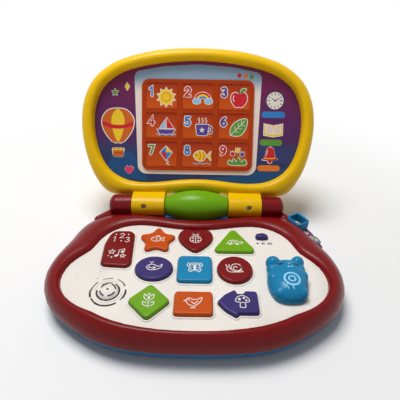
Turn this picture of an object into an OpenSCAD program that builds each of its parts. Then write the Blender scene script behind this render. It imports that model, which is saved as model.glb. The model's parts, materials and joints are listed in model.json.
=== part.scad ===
// Toy laptop computer: a puffy red and blue base with shape keys, a mouse, a rocker and a speaker,
// and a yellow lid with a light-up picture screen on a friction hinge.
// Every piece is drawn where it sits. The origin is on the table, under the middle of the open toy.

/* [Base] */
// Width of the base at its widest place
base_w = 294; // [288:1:300]
// Height of the keyboard plate's face above the table
plate_z = 30; // [29:0.5:31]
// Height of the rim's crest above the table
rim_z = 36.2; // [35:0.1:37]
// Height of the seam between the red and the blue shell
seam_z = 17; // [16:0.5:18]
// Height of the rubber feet under the floor
foot_h = 2; // [1.5:0.1:2.5]
// Wall thickness of the moulded shells
wall = 2.2; // [2:0.1:2.6]

/* [Lid] */
// Width of the lid
lid_w = 280; // [276:1:284]
// How far the open lid leans back from upright, in degrees
lid_lean = 28; // [10:1:40]
// Depth of the picture below the crest of the yellow frame
screen_depth = 10; // [9:0.5:11]
// Thickness of the lid from the frame's crest to its back
lid_t = 24; // [22:0.5:26]

/* [Hinge] */
// Distance of the hinge axis behind the base's widest place
hinge_back = 118; // [116:0.5:120]
// Height of the hinge axis above the table
hinge_z = 34; // [33:0.5:35]
// Radius of the lid's knuckles and the base's end barrels
knuckle_r = 10.7; // [10.4:0.1:11]
// Radius of the green cover at its fat middle
cover_r = 19.2; // [18.6:0.1:19.6]
// Radius of the hinge pins
pin_r = 4; // [3.5:0.1:4.5]
// Radial clearance of a pin in its turning bore
pin_fit = 0.08; // [0.03:0.01:0.1]

/* [Keys] */
// Distance between the columns of keys
key_dx = 40; // [39.6:0.1:41]
// Distance between the rows of keys
key_dy = 41; // [40:0.1:42]
// Height of a key above the plate
key_h = 4.4; // [3.6:0.1:5]
// Travel of a key
key_travel = 2; // [1.5:0.1:2.2]
// Gap around a key in its hole
key_gap = 0.4; // [0.3:0.05:0.5]

/* [Mouse] */
// Length of the mouse's body
mouse_l = 48; // [46:0.5:50]
// Width of the mouse's body
mouse_w = 39; // [37:0.5:41]
// Height of the mouse's back above the plate
mouse_h = 15; // [13:0.5:15.5]
// Travel of the mouse to each side
mouse_dx = 4; // [3:0.5:5]
// Travel of the mouse to the front and to the back
mouse_dy = 3; // [2:0.5:3.5]

/* [Hidden] */

$fa = 6;
$fs = 0.8;
eps = 0.01;
seat = 0.05;            // play between pieces that rest on each other
base_y = -79.4;          // where the base's widest place stands, so that the open toy is centred
plate_t = 2.2;
crest_z = -2.5;         // the lid frame's crest, seen along the lid's own normal from the axis
sheet_z = crest_z - screen_depth;
lid_seam_z = crest_z - 10.5;
lid_back_z = crest_z - lid_t;

// Right half of the plate's edge, then of the base's outer edge, from the front to the back.
rim_inner = [[0, -54.5], [28, -53.3], [56, -48.6], [76, -42], [87, -36.6], [100, -31.4],
             [114, -21.8], [124, -8], [127, 7], [123.5, 22], [116, 33], [108.5, 42], [104.5, 52],
             [100, 63], [92, 73], [80, 80.8], [64, 84.4], [44, 82.7], [22, 78.4], [0, 76.4]];
rim_outer = [[0, -65.5], [34, -64.6], [64, -60.8], [87, -53], [100, -46.2], [114, -37.5],
             [130, -24.5], [142, -6.5], [147, 14], [145.5, 34], [141.5, 50], [138, 62],
             [134.8, 75], [130, 88], [121.5, 99.5], [106, 107.4], [84, 108.2], [60, 106.6],
             [34, 101.4], [0, 97.6]];
// The blue shell goes on under the hinge, so the back of its outline is its own.
tub_back = [[129, 86], [117.5, 100], [104, 109.5], [100, 124], [86, 131.5], [44, 132], [0, 132]];
// Right half of the picture's edge and of the lid's outer edge, from the top to the hinge.
screen_edge = [[0, 171.5], [24, 170.4], [48, 167.7], [72, 163], [94, 155], [112, 140.5],
               [121.5, 121], [124.5, 100], [122.5, 77], [115.5, 55], [104, 39.5], [88, 30.5],
               [69, 27], [46, 27.7], [24, 30.2], [0, 31.5]];
lid_edge = [[0, 186], [27, 185.3], [53, 182.5], [79, 176.5], [103, 167], [124, 150],
            [136, 127], [140, 102], [138.4, 76], [132.6, 51], [124.5, 32.5], [113, 17.4],
            [98, 11.8], [62, 12], [29, 13.8], [0, 17]];
base_mid = 33;          // middle of the blue shell from front to back, and half its depth
base_half = 98.5;
nominal_base_w = 294;
nominal_lid_w = 280;

function unit(v) = v / norm(v);
function both_sides(half) =
    concat(half, [for (i = [len(half) - 2 : -1 : 1]) [-half[i][0], half[i][1]]]);
function counter_clockwise(loop) = [for (i = [len(loop) - 1 : -1 : 0]) loop[i]];
// Point at t between knots b and c of a smooth curve through a, b, c and d
function spline_point(a, b, c, d, t) =
    0.5 * (2 * b + (c - a) * t + (2 * a - 5 * b + 4 * c - d) * t * t
    + (3 * b - a - 3 * c + d) * t * t * t);
function smooth_loop(knots, steps) = let (n = len(knots))
    [for (i = [0 : n - 1], s = [0 : steps - 1])
        spline_point(knots[(i + n - 1) % n], knots[i], knots[(i + 1) % n], knots[(i + 2) % n],
            s / steps)];
// A loop moved inwards by d
function inset(loop, d) = let (n = len(loop))
    [for (i = [0 : n - 1]) let (along = unit(loop[(i + 1) % n] - loop[(i + n - 1) % n]))
        loop[i] + d * [-along[1], along[0]]];
// A loop of the base drawn in by d towards its middle, for the broad floor
function shrunk(loop, d) = [for (p = loop)
    [p[0] * (1 - d / (base_w / 2)), base_mid + (p[1] - base_mid) * (1 - d / base_half)]];
function raised(loop, z) = [for (p = loop) [p[0], p[1], z]];
function between(inner, outer, s, z) =
    [for (i = [0 : len(inner) - 1]) let (p = inner[i] + (outer[i] - inner[i]) * s)
        [p[0], p[1], z]];
// A closed outline with a round corner at each [x, y, radius]
function round_corner(before, corner, after, steps) = let (
    p = [corner[0], corner[1]],
    d1 = unit([before[0], before[1]] - p),
    d2 = unit([after[0], after[1]] - p),
    half = acos(max(-1, min(1, d1 * d2))) / 2,
    centre = p + unit(d1 + d2) * corner[2] / sin(half),
    first = p + d1 * corner[2] / tan(half) - centre,
    last = p + d2 * corner[2] / tan(half) - centre,
    a1 = atan2(first[1], first[0]),
    turn = atan2(first[0] * last[1] - first[1] * last[0], first * last))
    [for (s = [0 : steps]) let (a = a1 + turn * s / steps) centre + corner[2] * [cos(a), sin(a)]];
function round_loop(corners, steps) = let (n = len(corners))
    [for (i = [0 : n - 1])
        each round_corner(corners[(i + n - 1) % n], corners[i], corners[(i + 1) % n], steps)];
// Unit normal that points out of a counter-clockwise outline's side from a to b
function outward(a, b) = let (along = unit([b[0] - a[0], b[1] - a[1]])) [along[1], -along[0]];
// The same corners with every side moved out by d, and the round corners grown or shrunk to suit
function grown(corners, d) = let (n = len(corners))
    [for (i = [0 : n - 1]) let (
        p = corners[i],
        n1 = outward(corners[(i + n - 1) % n], p),
        n2 = outward(p, corners[(i + 1) % n]),
        convex = n1[0] * n2[1] - n1[1] * n2[0] > 0,
        q = [p[0], p[1]] + d * (n1 + n2) / (1 + n1 * n2))
        [q[0], q[1], max(0.3, p[2] + (convex ? d : -d))]];

// Skins the loops, which run from the top or inside down the outside, and caps both ends
module loft(loops) {
    n = len(loops[0]);
    m = len(loops);
    polyhedron(
        points = [for (loop = loops, p = loop) p],
        faces = concat(
            [[for (j = [n - 1 : -1 : 0]) j]],
            [for (i = [0 : m - 2], j = [0 : n - 1])
                [i * n + j, i * n + (j + 1) % n, (i + 1) * n + (j + 1) % n, (i + 1) * n + j]],
            [[for (j = [0 : n - 1]) (m - 1) * n + j]]),
        convexity = 6);
}
// Skins the loops and joins the last one to the first
module ring_loft(loops) {
    n = len(loops[0]);
    m = len(loops);
    polyhedron(
        points = [for (loop = loops, p = loop) p],
        faces = [for (i = [0 : m - 1], j = [0 : n - 1]) let (k = (i + 1) % m)
            [i * n + j, i * n + (j + 1) % n, k * n + (j + 1) % n, k * n + j]],
        convexity = 8);
}

function widened(half, share) = both_sides([for (p = half) [p[0] * share, p[1]]]);
plate_loop = smooth_loop(widened(rim_inner, base_w / nominal_base_w), 2);
rim_loop = smooth_loop(widened(rim_outer, base_w / nominal_base_w), 2);
tub_knots = concat([for (i = [0 : len(rim_outer) - len(tub_back) - 1]) rim_outer[i]], tub_back);
tub_loop = smooth_loop(widened(tub_knots, base_w / nominal_base_w), 2);
screen_loop = smooth_loop(counter_clockwise(widened(screen_edge, lid_w / nominal_lid_w)), 3);
lid_loop = smooth_loop(counter_clockwise(widened(lid_edge, lid_w / nominal_lid_w)), 3);

// Places a piece that is drawn from the base's widest place, or one that lies along the lid:
// there Y runs up the lid from the hinge axis and Z points out of the picture
module in_base() translate([0, base_y, 0]) children();
module in_lid() translate([0, base_y + hinge_back, hinge_z]) rotate([90 - lid_lean, 0, 0]) children();
// Lays a profile drawn in a plane across the hinge along the X axis from x0 to x1
module along_x(x0, x1) translate([x0, 0, 0]) rotate([90, 0, 90]) linear_extrude(x1 - x0) children();
module both_ends() {
    children();
    mirror([1, 0, 0]) children();
}

// ---------------------------------------------------------------- hinge
end_x = 103.8;          // outer end of the red barrels
barrel_r = knuckle_r + 2.2;
knuckle_x1 = 77;        // outer end of the knuckles
knuckle_x0 = 38;        // their inner end
side_gap = 0.5;         // play between the barrels along the axis
outer_pin_x = 70;       // inner end of the outer pins
stub_x = 48;            // outer end of the cover's stubs
screw_x = 62;           // the clamp screws of the knuckles

deck_y = 97;            // front of the deck under a barrel, inside the rim
deck_h = 8;

module on_axis() translate([0, hinge_back, hinge_z]) rotate([0, 90, 0]) children();

// Half profile of the green cover, fat in the middle
module cover_profile(extra = 0) {
    half = knuckle_x0 - side_gap;
    end_r = knuckle_r - 0.3;
    steps = 12;
    polygon(concat([[0, -half - extra]],
        [for (i = [-steps : steps]) let (t = i / steps)
            [extra + end_r + (cover_r - end_r) * pow(cos(90 * t), 0.8), t * (half + extra)]],
        [[0, half + extra]]));
}
module hinge_cover() color([0.53, 0.75, 0.16]) in_base() {
    difference() {
        on_axis() rotate_extrude() cover_profile();
        on_axis() cylinder(r = knuckle_r - 4.5, h = 2 * (knuckle_x0 - 6), center = true);
    }
    both_ends() translate([knuckle_x0 - side_gap - eps, hinge_back, hinge_z]) rotate([0, 90, 0])
        cylinder(r = pin_r, h = stub_x - knuckle_x0 + side_gap);
}
module hinge_pins() color([0.75, 0.75, 0.78]) in_base() both_ends()
    translate([outer_pin_x, hinge_back, hinge_z]) rotate([0, 90, 0])
        cylinder(r = pin_r, h = 30);

// ---------------------------------------------------------------- base shells
// The puffed section of the rim as [share of the width from the plate's edge, height]
function rim_section() = [
    [0, plate_z + 0.15], [0.03, rim_z - 2.9], [0.13, rim_z - 0.9], [0.3, rim_z],
    [0.5, rim_z - 0.7], [0.7, rim_z - 3.8], [0.88, rim_z - 9], [0.98, rim_z - 14],
    [1, seam_z], [0.87, seam_z], [0.86, rim_z - 13.6], [0.76, rim_z - 9.6],
    [0.6, rim_z - 5.5], [0.42, rim_z - 2.9], [0.24, rim_z - 2.7], [0.15, plate_z + 0.15]];

// The ledge for the picture strip, cut into the rim at the right rear
ledge_z = 25;
ledge_start = [112.2, 101.9];
ledge_end = [136.5, 60.5];
ledge_dir = unit(ledge_end - ledge_start);
ledge_len = norm(ledge_end - ledge_start);
ledge_in = 8.6;         // width of the ledge on the rim's side of its middle line
slot_in = 7.2;          // the slider's slot, on the rim's side of the middle line
slot_w = 1.8;
// The ledge's outline along its middle line, round where it runs out at the front
ledge_corners = [[-0.5, -ledge_in, 0.6], [ledge_len, -ledge_in, 9], [ledge_len, 30, 1],
    [-0.5, 30, 0.6]];
module ledge_block(d, h) linear_extrude(h) polygon(round_loop(grown(ledge_corners, d), 6));
module on_ledge() translate([ledge_start[0], ledge_start[1], 0])
    rotate([0, 0, atan2(ledge_dir[1], ledge_dir[0])]) children();
module rim_fill(z0, z1, skin) translate([0, 0, z0]) linear_extrude(z1 - z0)
    polygon(inset(rim_loop, skin));

module end_barrel() {
    corner = 8;
    on_axis() rotate_extrude() polygon(concat(
        [[0, knuckle_x1 + side_gap]], [[barrel_r, knuckle_x1 + side_gap]],
        [for (a = [0 : 15 : 90])
            [barrel_r - corner + corner * cos(a), end_x - corner + corner * sin(a)]],
        [[0, end_x]]));
    // The deck under the barrel closes the blue shell, and a pedestal ties the two
    intersection() {
        translate([knuckle_x1 + side_gap, deck_y, seam_z]) cube([40, 40, deck_h]);
        translate([0, 0, seam_z]) linear_extrude(deck_h) polygon(inset(tub_loop, 1));
    }
    translate([knuckle_x1 + side_gap, hinge_back - 10.5, seam_z + deck_h - eps])
        cube([end_x - knuckle_x1 - side_gap - 6, 19.5, 8]);
}
module base_top() color([0.58, 0.09, 0.11]) in_base() difference() {
    union() {
        difference() {
            ring_loft([for (s = rim_section()) between(plate_loop, rim_loop, s[0], s[1])]);
            on_ledge() translate([0, 0, ledge_z]) ledge_block(0, 20);
        }
        intersection() {
            rim_fill(seam_z + 3, rim_z - 4.5, 1);
            on_ledge() difference() {
                translate([0, 0, ledge_z - wall]) ledge_block(wall, 10);
                translate([0, 0, ledge_z]) ledge_block(0, 20);
            }
        }
        both_ends() end_barrel();
    }
    both_ends() on_axis() translate([0, 0, knuckle_x1])
        cylinder(r = pin_r, h = 100 - knuckle_x1 + eps);
    on_ledge() translate([5, -slot_in - slot_w / 2, ledge_z - 5])
        cube([ledge_len - 9, slot_w, 10]);
}

// Screw posts that tie the base together, at the same places in floor and plate
post_at = [[-60, -38], [60, -38], [-112, 6], [114, -12], [-62, 66], [62, 74]];
floor_z = foot_h;
bay = [64, 33];         // battery bay in the floor
bay_y = 82;
module battery_bay_wall() translate([-bay[0] / 2 - wall, bay_y - bay[1] / 2 - wall, floor_z])
    difference() {
        cube([bay[0] + 2 * wall, bay[1] + 2 * wall, seam_z - floor_z - 0.4]);
        translate([wall, wall, -eps]) cube([bay[0], bay[1], 20]);
    }
module base_bottom() color([0.16, 0.42, 0.68]) in_base() difference() {
    union() {
        loft([raised(shrunk(tub_loop, 15), floor_z + wall),
            raised(shrunk(tub_loop, 9), floor_z + wall + 1),
            raised(inset(tub_loop, 4.4), floor_z + wall + 5),
            raised(inset(tub_loop, 3.1), seam_z),
            raised(inset(tub_loop, 0.8), seam_z),
            raised(inset(tub_loop, 1.6), floor_z + 8),
            raised(inset(tub_loop, 4), floor_z + 3),
            raised(shrunk(tub_loop, 8.4), floor_z + 0.6),
            raised(shrunk(tub_loop, 14), floor_z)]);
        for (p = post_at) translate([p[0], p[1], floor_z]) cylinder(r = 4.6, h = seam_z - floor_z);
        battery_bay_wall();
        cradle();
    }
    for (p = post_at) translate([p[0], p[1], 0]) {
        cylinder(r = 3.4, h = floor_z + 6);
        cylinder(r = 1.8, h = 30);
    }
    translate([-bay[0] / 2, bay_y - bay[1] / 2, 0]) cube([bay[0], bay[1], floor_z + wall + 4]);
    translate([-bay[0] / 2 - 1.6, bay_y - bay[1] / 2 - 1.6, 0])
        cube([bay[0] + 3.2, bay[1] + 3.2, floor_z + 1.1]);
    for (p = foot_at) translate([p[0], p[1], 0]) cylinder(r = foot_r + seat, h = floor_z + 0.6);
}
// The blue saddle that carries the green cover, between the knuckles
module cradle() difference() {
    union() {
        along_x(-knuckle_x0 + 1, knuckle_x0 - 1)
            polygon([[103.4, floor_z + 6], [102.6, 24], [104, 27.5], [107, 28.5], [130, 28.5],
                [132, 26], [131, floor_z + 6]]);
        along_x(-knuckle_x1, knuckle_x1) polygon([[deck_y + 1, seam_z - 2],
            [deck_y + 1, seam_z - seat], [108.8, seam_z - seat], [108.8, seam_z + 2.3],
            [128, seam_z + 2.3], [128, seam_z - 2]]);
    }
    on_axis() rotate_extrude() cover_profile(seat);
    along_x(-knuckle_x0 + 3.2, knuckle_x0 - 3.2)
        polygon([[105.5, 0], [105.5, 13], [127.5, 13], [127.5, 0]]);
}

foot_r = 7;
foot_at = [[-98, -22], [98, -22], [-96, 78], [96, 78]];
module rubber_feet() color([0.12, 0.12, 0.12]) in_base() for (p = foot_at)
    translate([p[0], p[1], 0]) rotate_extrude() polygon([[0, 0], [foot_r - 1, 0],
        [foot_r, 0.8], [foot_r, floor_z + 0.6], [0, floor_z + 0.6]]);

module battery_door() color([0.16, 0.42, 0.68]) in_base() difference() {
    union() {
        translate([-bay[0] / 2 - 1.4, bay_y - bay[1] / 2 - 1.4, floor_z])
            cube([bay[0] + 2.8, bay[1] + 2.8, 1]);
        translate([-bay[0] / 2 + 0.2, bay_y - bay[1] / 2 + 0.2, floor_z + 1 - eps])
            cube([bay[0] - 0.4, bay[1] - 0.4, 1]);
    }
    translate([bay[0] / 2 - 4.5, bay_y, 0]) {
        cylinder(r = 2.9, h = floor_z + 1);
        cylinder(r = 1.7, h = 20);
    }
    for (i = [-3 : 3]) translate([-22 + i * 2, bay_y - 8, 0]) cube([0.9, 16, floor_z + 0.4]);
}
module machine_screw(head_r, head_h, shank_r, length) {
    difference() {
        cylinder(r = head_r, h = head_h);
        for (a = [0, 90]) rotate([0, 0, a]) translate([-head_r * 0.6, -0.3, -eps])
            cube([head_r * 1.2, 0.6, head_h * 0.6]);
    }
    translate([0, 0, head_h - eps]) cylinder(r = shank_r, h = length);
}
module battery_door_screw() color([0.7, 0.7, 0.72]) in_base()
    translate([bay[0] / 2 - 4.5, bay_y, floor_z + 0.1]) machine_screw(2.7, 0.85, 1.5, 1.6);

battery_r = 7.2;
module battery_cell() {
    cylinder(r = battery_r, h = 49);
    cylinder(r = 2.7, h = 50.4);
}
module batteries() color([0.2, 0.2, 0.22]) in_base() for (side = [-1, 1])
    translate([-25.2 * side, bay_y + 7.4 * side, floor_z + wall + battery_r + 0.1])
        rotate([0, 90 * side, 0]) battery_cell();
module battery_contacts() color([0.8, 0.8, 0.82]) in_base() for (side = [-1, 1], y = [-1, 1])
    translate([side * (bay[0] / 2 - 2.6) - 0.3, bay_y + 8 * y - 5, floor_z + wall + 2])
        cube([0.6, 10, 10]);

module housing_screws() color([0.7, 0.7, 0.72]) in_base() for (p = post_at)
    translate([p[0], p[1], floor_z + 6 - 2.2 - 0.05]) machine_screw(3, 2.2, 1.45, 14);

// ---------------------------------------------------------------- keys
triangle_corners = [[23.5, -16.8, 4.2], [0, 21.5, 4.6], [-23.5, -16.8, 4.2]];
square_corners = [[16.8, -16.8, 4.5], [16.8, 16.8, 4.5], [-16.8, 16.8, 4.5], [-16.8, -16.8, 4.5]];
diamond_corners = [[19.4, 0, 4], [0, 19.6, 4], [-19.4, 0, 4], [0, -19.6, 4]];
rectangle_corners = [[17, -12.6, 3], [17, 12.6, 3], [-17, 12.6, 3], [-17, -12.6, 3]];
arrow_corners = [[-19.5, 0, 3], [-12.5, -8.6, 14], [-2.6, -15.6, 2], [-0.6, -12, 1],
    [17.2, -12, 3], [17.2, 12.4, 3], [6.4, 12.4, 2], [4.4, 9.2, 1], [-0.8, 9.2, 1],
    [-2.6, 14.2, 2], [-12.5, 8.2, 14]];
heart_knots = [[0, -18.2], [8.5, -12.6], [16, -3.5], [18.6, 5.5], [15.6, 13.6],
    [8, 16.4], [0, 15], [-8, 16.4], [-15.6, 13.6], [-18.6, 5.5], [-16, -3.5], [-8.5, -12.6]];
// Each key's outline, moved out by d
function star_loop(d) = inset([for (a = [0 : 9 : 351])
    (15.6 + 3 * cos(5 * (a - 90)) + 0.5 * cos(10 * (a - 90))) * [cos(a), sin(a)]], -d);
function heart_loop(d) = inset(smooth_loop(heart_knots, 3), -d);
function triangle_loop(d) = round_loop(grown(triangle_corners, d), 9);
function oval_loop(d) = [for (a = [0 : 10 : 350]) [(18.4 + d) * cos(a), (15.4 + d) * sin(a)]];
function square_loop(d) = round_loop(grown(square_corners, d), 7);
function circle_loop(d) = [for (a = [0 : 10 : 350]) (17.2 + d) * [cos(a), sin(a)]];
function diamond_loop(d) = round_loop(grown(diamond_corners, d), 7);
function rectangle_loop(d) = round_loop(grown(rectangle_corners, d), 7);
function arrow_loop(d) = round_loop(grown(arrow_corners, d), 3);

key_y0 = 56.6;          // the rear row, from the base's widest place
star_at = [-key_dx - 0.6, key_y0];
heart_at = [0, key_y0 + 1.4];
triangle_at = [key_dx + 0.8, key_y0];
oval_at = [-key_dx, key_y0 - key_dy];
square_at = [0, key_y0 - key_dy];
circle_at = [key_dx - 0.8, key_y0 - key_dy];
diamond_at = [-key_dx, key_y0 - 2 * key_dy + 1];
rectangle_at = [-0.4, key_y0 - 2 * key_dy - 0.6];
arrow_at = [key_dx, key_y0 - 2 * key_dy + 1];
key_list = [[function (d) star_loop(d), star_at], [function (d) heart_loop(d), heart_at],
    [function (d) triangle_loop(d), triangle_at], [function (d) oval_loop(d), oval_at],
    [function (d) square_loop(d), square_at], [function (d) circle_loop(d), circle_at],
    [function (d) diamond_loop(d), diamond_at], [function (d) rectangle_loop(d), rectangle_at],
    [function (d) arrow_loop(d), arrow_at]];

board_z = 12;           // underside of the main board
board_t = 1.6;
pad_h = 4.4;            // height of a rubber dome
flange_z = plate_z - plate_t - 1.4;

// A key: a rounded cap, a collar under the plate that keeps it in, and a stem to its dome
module key(which) {
    outline = key_list[which][0];
    at = key_list[which][1];
    top = plate_z + key_h;
    stem_z = board_z + board_t + pad_h + key_travel + 0.3;
    in_base() translate([at[0], at[1], 0]) {
        loft([raised(outline(-1.6), top), raised(outline(-0.5), top - 0.5),
            raised(outline(0), top - 1.8), raised(outline(0), flange_z + 1.1),
            raised(outline(0.9), flange_z + 1.1),
            raised(outline(0.9), flange_z), raised(outline(-1.6), flange_z),
            raised(outline(-1.6), top - 2)]);
        translate([0, 0, stem_z]) cylinder(r = 3, h = top - 1.2 - stem_z);
    }
}
module star_key() color([0.87, 0.36, 0.05]) key(0);
module heart_key() color([0.56, 0.07, 0.09]) key(1);
module triangle_key() color([0.47, 0.7, 0.05]) key(2);
module oval_key() color([0.28, 0.22, 0.55]) key(3);
module square_key() color([0.08, 0.55, 0.76]) key(4);
module circle_key() color([0.56, 0.07, 0.09]) key(5);
module diamond_key() color([0.47, 0.7, 0.05]) key(6);
module rectangle_key() color([0.87, 0.36, 0.05]) key(7);
module arrow_key() color([0.28, 0.22, 0.55]) key(8);

// ---------------------------------------------------------------- rocker
rocker_corners = [[-63.2, 16.6, 6], [-67, 71, 7.5], [-91, 70.4, 9], [-95.6, 52, 40],
    [-93.4, 18.6, 6]];
function rocker_loop(d) = round_loop(grown(rocker_corners, d), 6);
rocker_mid = [-79.5, 43.5];
rocker_pin_z = 24.6;
rocker_pin_r = 1.6;
lug_x = 17.4;           // the plate's two lugs that hold the rocker's pin
module rocker_pin(r, half) translate([rocker_mid[0], rocker_mid[1], rocker_pin_z])
    rotate([0, 90, 0]) cylinder(r = r, h = 2 * half, center = true);
module rocker() color([0.56, 0.07, 0.09]) in_base() {
    top = plate_z + key_h - 0.6;
    loft([raised(rocker_loop(-2), top), raised(rocker_loop(-1), top - 0.4),
        raised(rocker_loop(-0.25), top - 1.3), raised(rocker_loop(0), top - 2.4),
        raised(rocker_loop(0), plate_z - 1.6)]);
    difference() {
        translate([rocker_mid[0] - 9, rocker_mid[1] - 3, rocker_pin_z - 2.6])
            cube([18, 6, plate_z - 1.6 - rocker_pin_z + 2.6 + eps]);
        translate([rocker_mid[0] - 6, rocker_mid[1] - 4, rocker_pin_z - 3]) cube([12, 8, 6]);
    }
    rocker_pin(rocker_pin_r, lug_x + 1.2);
}

// ---------------------------------------------------------------- sound switch
knob_loop = round_loop([[-7, -2.6, 2.4], [0, -4, 3.5], [7, -2.4, 2.4], [6.8, 2.8, 2.5],
    [1.5, 4.2, 3], [-3, 3, 3], [-7, 2.6, 2.4]], 4);
knob_at = [72, 65.4];
knob_travel = 4;
module volume_knob() color([0.26, 0.21, 0.5]) in_base() translate([knob_at[0], knob_at[1], 0]) {
    loft([raised(inset(knob_loop, 1.2), plate_z + 3.2),
        raised(inset(knob_loop, 0.4), plate_z + 2.8),
        raised(knob_loop, plate_z + 2), raised(knob_loop, plate_z + 0.3)]);
    translate([-1.6, -1, 19]) cube([3.2, 2, plate_z + 0.3 + eps - 19]);
}
module volume_switch() color([0.8, 0.8, 0.8]) in_base()
    translate([knob_at[0], knob_at[1], 0]) difference() {
        translate([-12, -4, board_z + board_t]) cube([24, 8, 7]);
        translate([-8, -1.6, board_z + board_t + 2]) cube([16, 3.2, 8]);
    }

// ---------------------------------------------------------------- speaker
speaker_at = [-79, -12];
speaker_r = 16;
// The sound slots around it, each as the angles where it starts and ends
outer_slots = [[-150, -110], [-98, -52], [-38, 10], [24, 66], [84, 120], [136, 178], [190, 204]];
inner_slots = [[-152, -28], [-12, 60], [76, 136]];
module speaker() color([0.3, 0.3, 0.32]) in_base()
    translate([speaker_at[0], speaker_at[1], 0]) rotate_extrude()
        polygon([[0, 12], [8, 12], [8, 17], [12.5, 20], [speaker_r, 23.4], [speaker_r, 26],
            [14.6, 26], [13.4, 24.6], [5, 21.6], [3.6, 22.8], [0, 23.6]]);

// ---------------------------------------------------------------- keyboard plate
mouse_at = [87.4, 0.6];
stem_r = 4;
module ring_slot(r0, r1, from, to) rotate([0, 0, from]) rotate_extrude(angle = to - from)
    translate([r0, 0]) square([r1 - r0, 12]);
// The openings in the plate for the keys, the rocker, the knob and the mouse's stem
module plate_holes() {
    for (k = key_list) translate(k[1]) polygon(k[0](key_gap));
    polygon(rocker_loop(0.5));
    translate([knob_at[0] - knob_travel - 2.2, knob_at[1] - 1.4])
        square([2 * knob_travel + 4.4, 2.8]);
    translate([mouse_at[0] - mouse_dx - stem_r - 0.6, mouse_at[1] - mouse_dy - stem_r - 0.6])
        square([2 * (mouse_dx + stem_r + 0.6), 2 * (mouse_dy + stem_r + 0.6)]);
}
module keyboard_plate() color([0.93, 0.91, 0.88]) in_base() difference() {
    union() {
        translate([0, 0, plate_z - plate_t]) linear_extrude(plate_t) difference() {
            polygon(inset(plate_loop, -2.2));
            plate_holes();
        }
        translate([0, 0, plate_z - eps]) linear_extrude(0.5) difference() {
            intersection() {
                union() {
                    for (k = key_list) translate(k[1]) polygon(k[0](2.2));
                    polygon(rocker_loop(2));
                }
                polygon(inset(plate_loop, 0.6));
            }
            plate_holes();
        }
        for (p = post_at) translate([p[0], p[1], seam_z + seat])
            cylinder(r = 3.6, h = plate_z - plate_t - seam_z - seat + eps);
        for (side = [-1, 1])
            translate([rocker_mid[0] + side * lug_x - 1.3, rocker_mid[1] - 3.5, rocker_pin_z - 3])
                cube([2.6, 7, plate_z - plate_t - rocker_pin_z + 3 + eps]);
        translate([speaker_at[0], speaker_at[1], plate_z - eps]) rotate_extrude()
            polygon([[0, 0], [9, 0], [8, 1.6], [5.5, 2.7], [0, 3.2]]);
        mouse_marks();
    }
    for (p = post_at) translate([p[0], p[1], seam_z - 1]) cylinder(r = 1.5, h = 9);
    rocker_pin(rocker_pin_r + 0.07, 25);
    translate([speaker_at[0], speaker_at[1], plate_z - 5]) {
        for (span = outer_slots) ring_slot(15.2, 16.6, span[0], span[1]);
        for (span = inner_slots) ring_slot(9.6, 11, span[0], span[1]);
    }
}
// Raised chevrons around the mouse that show which ways it moves
module chevron(at, turn, reach) translate([at[0], at[1], plate_z - eps]) rotate([0, 0, turn])
    linear_extrude(0.35) polygon([[-reach, -3.2], [0, 0], [reach, -3.2], [reach, -2.3], [0, 0.9],
        [-reach, -2.3]]);
module mouse_marks() {
    chevron([60.6, 2.2], 90, 5);
    chevron([115.4, 2.2], -90, 5);
    chevron([87.6, -29.4], 180, 7);
}

// ---------------------------------------------------------------- electronics
module main_board() color([0.1, 0.42, 0.2]) in_base() difference() {
    translate([0, 0, board_z]) linear_extrude(board_t) polygon([[-56, -40], [52, -40], [52, 32],
        [86, 32], [86, 74], [56, 74], [56, 62.6], [-56, 62.6]]);
    for (p = post_at) translate([p[0], p[1], board_z - 1]) cylinder(r = 5.2, h = 10);
}
module key_pad_sheet() color([0.85, 0.85, 0.85]) in_base() for (k = key_list)
    translate([k[1][0], k[1][1], board_z + board_t]) rotate_extrude()
        polygon([[0, 2.2], [2.2, 2.2], [3.8, 0], [5.1, 0], [5.1, 0.8], [4.6, 0.9],
            [3.6, pad_h], [0, pad_h]]);

// ---------------------------------------------------------------- mouse
mouse_base_z = plate_z + 0.5;
mouse_loop = smooth_loop([[0, -24.3], [9, -23.8], [15.6, -20.6], [18.6, -14.5], [17.8, -8.4],
    [19.4, -2.4], [18.6, 6], [19, 12.6], [14.4, 20.6], [7.6, 23.8], [0, 24.3], [-7.6, 23.8],
    [-14.4, 20.6], [-19, 12.6], [-18.6, 6], [-19.4, -2.4], [-17.8, -8.4], [-18.6, -14.5],
    [-15.6, -20.6], [-9, -23.8]], 2);
mouse_ears = [[-12.4, 18.6], [12.8, 20.4]];
module mouse() color([0.1, 0.5, 0.68]) in_base() translate([mouse_at[0], mouse_at[1], 0]) {
    grown = [for (p = mouse_loop) [p[0] * mouse_w / 38.8, p[1] * mouse_l / 48.6]];
    top = mouse_base_z + mouse_h - 0.5;
    loft([raised(inset(grown, 14.5), top), raised(inset(grown, 10.5), top - 0.5),
        raised(inset(grown, 6.5), top - 1.9), raised(inset(grown, 3.2), top - 4.2),
        raised(inset(grown, 1), top - 7.6), raised(grown, top - 11), raised(grown, mouse_base_z + 1),
        raised(inset(grown, 0.8), mouse_base_z)]);
    for (ear = mouse_ears) translate([ear[0], ear[1], mouse_base_z + 6.2]) intersection() {
        sphere(r = 6.8);
        translate([-8, -8, -5.6]) cube([16, 16, 12]);
    }
    translate([0, 0, 20.6]) cylinder(r = stem_r - 0.6, h = mouse_base_z - 20.6 + 2);
    translate([0, 0, 20.6]) cylinder(r = stem_r + 2.2, h = 1.4);
}
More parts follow.
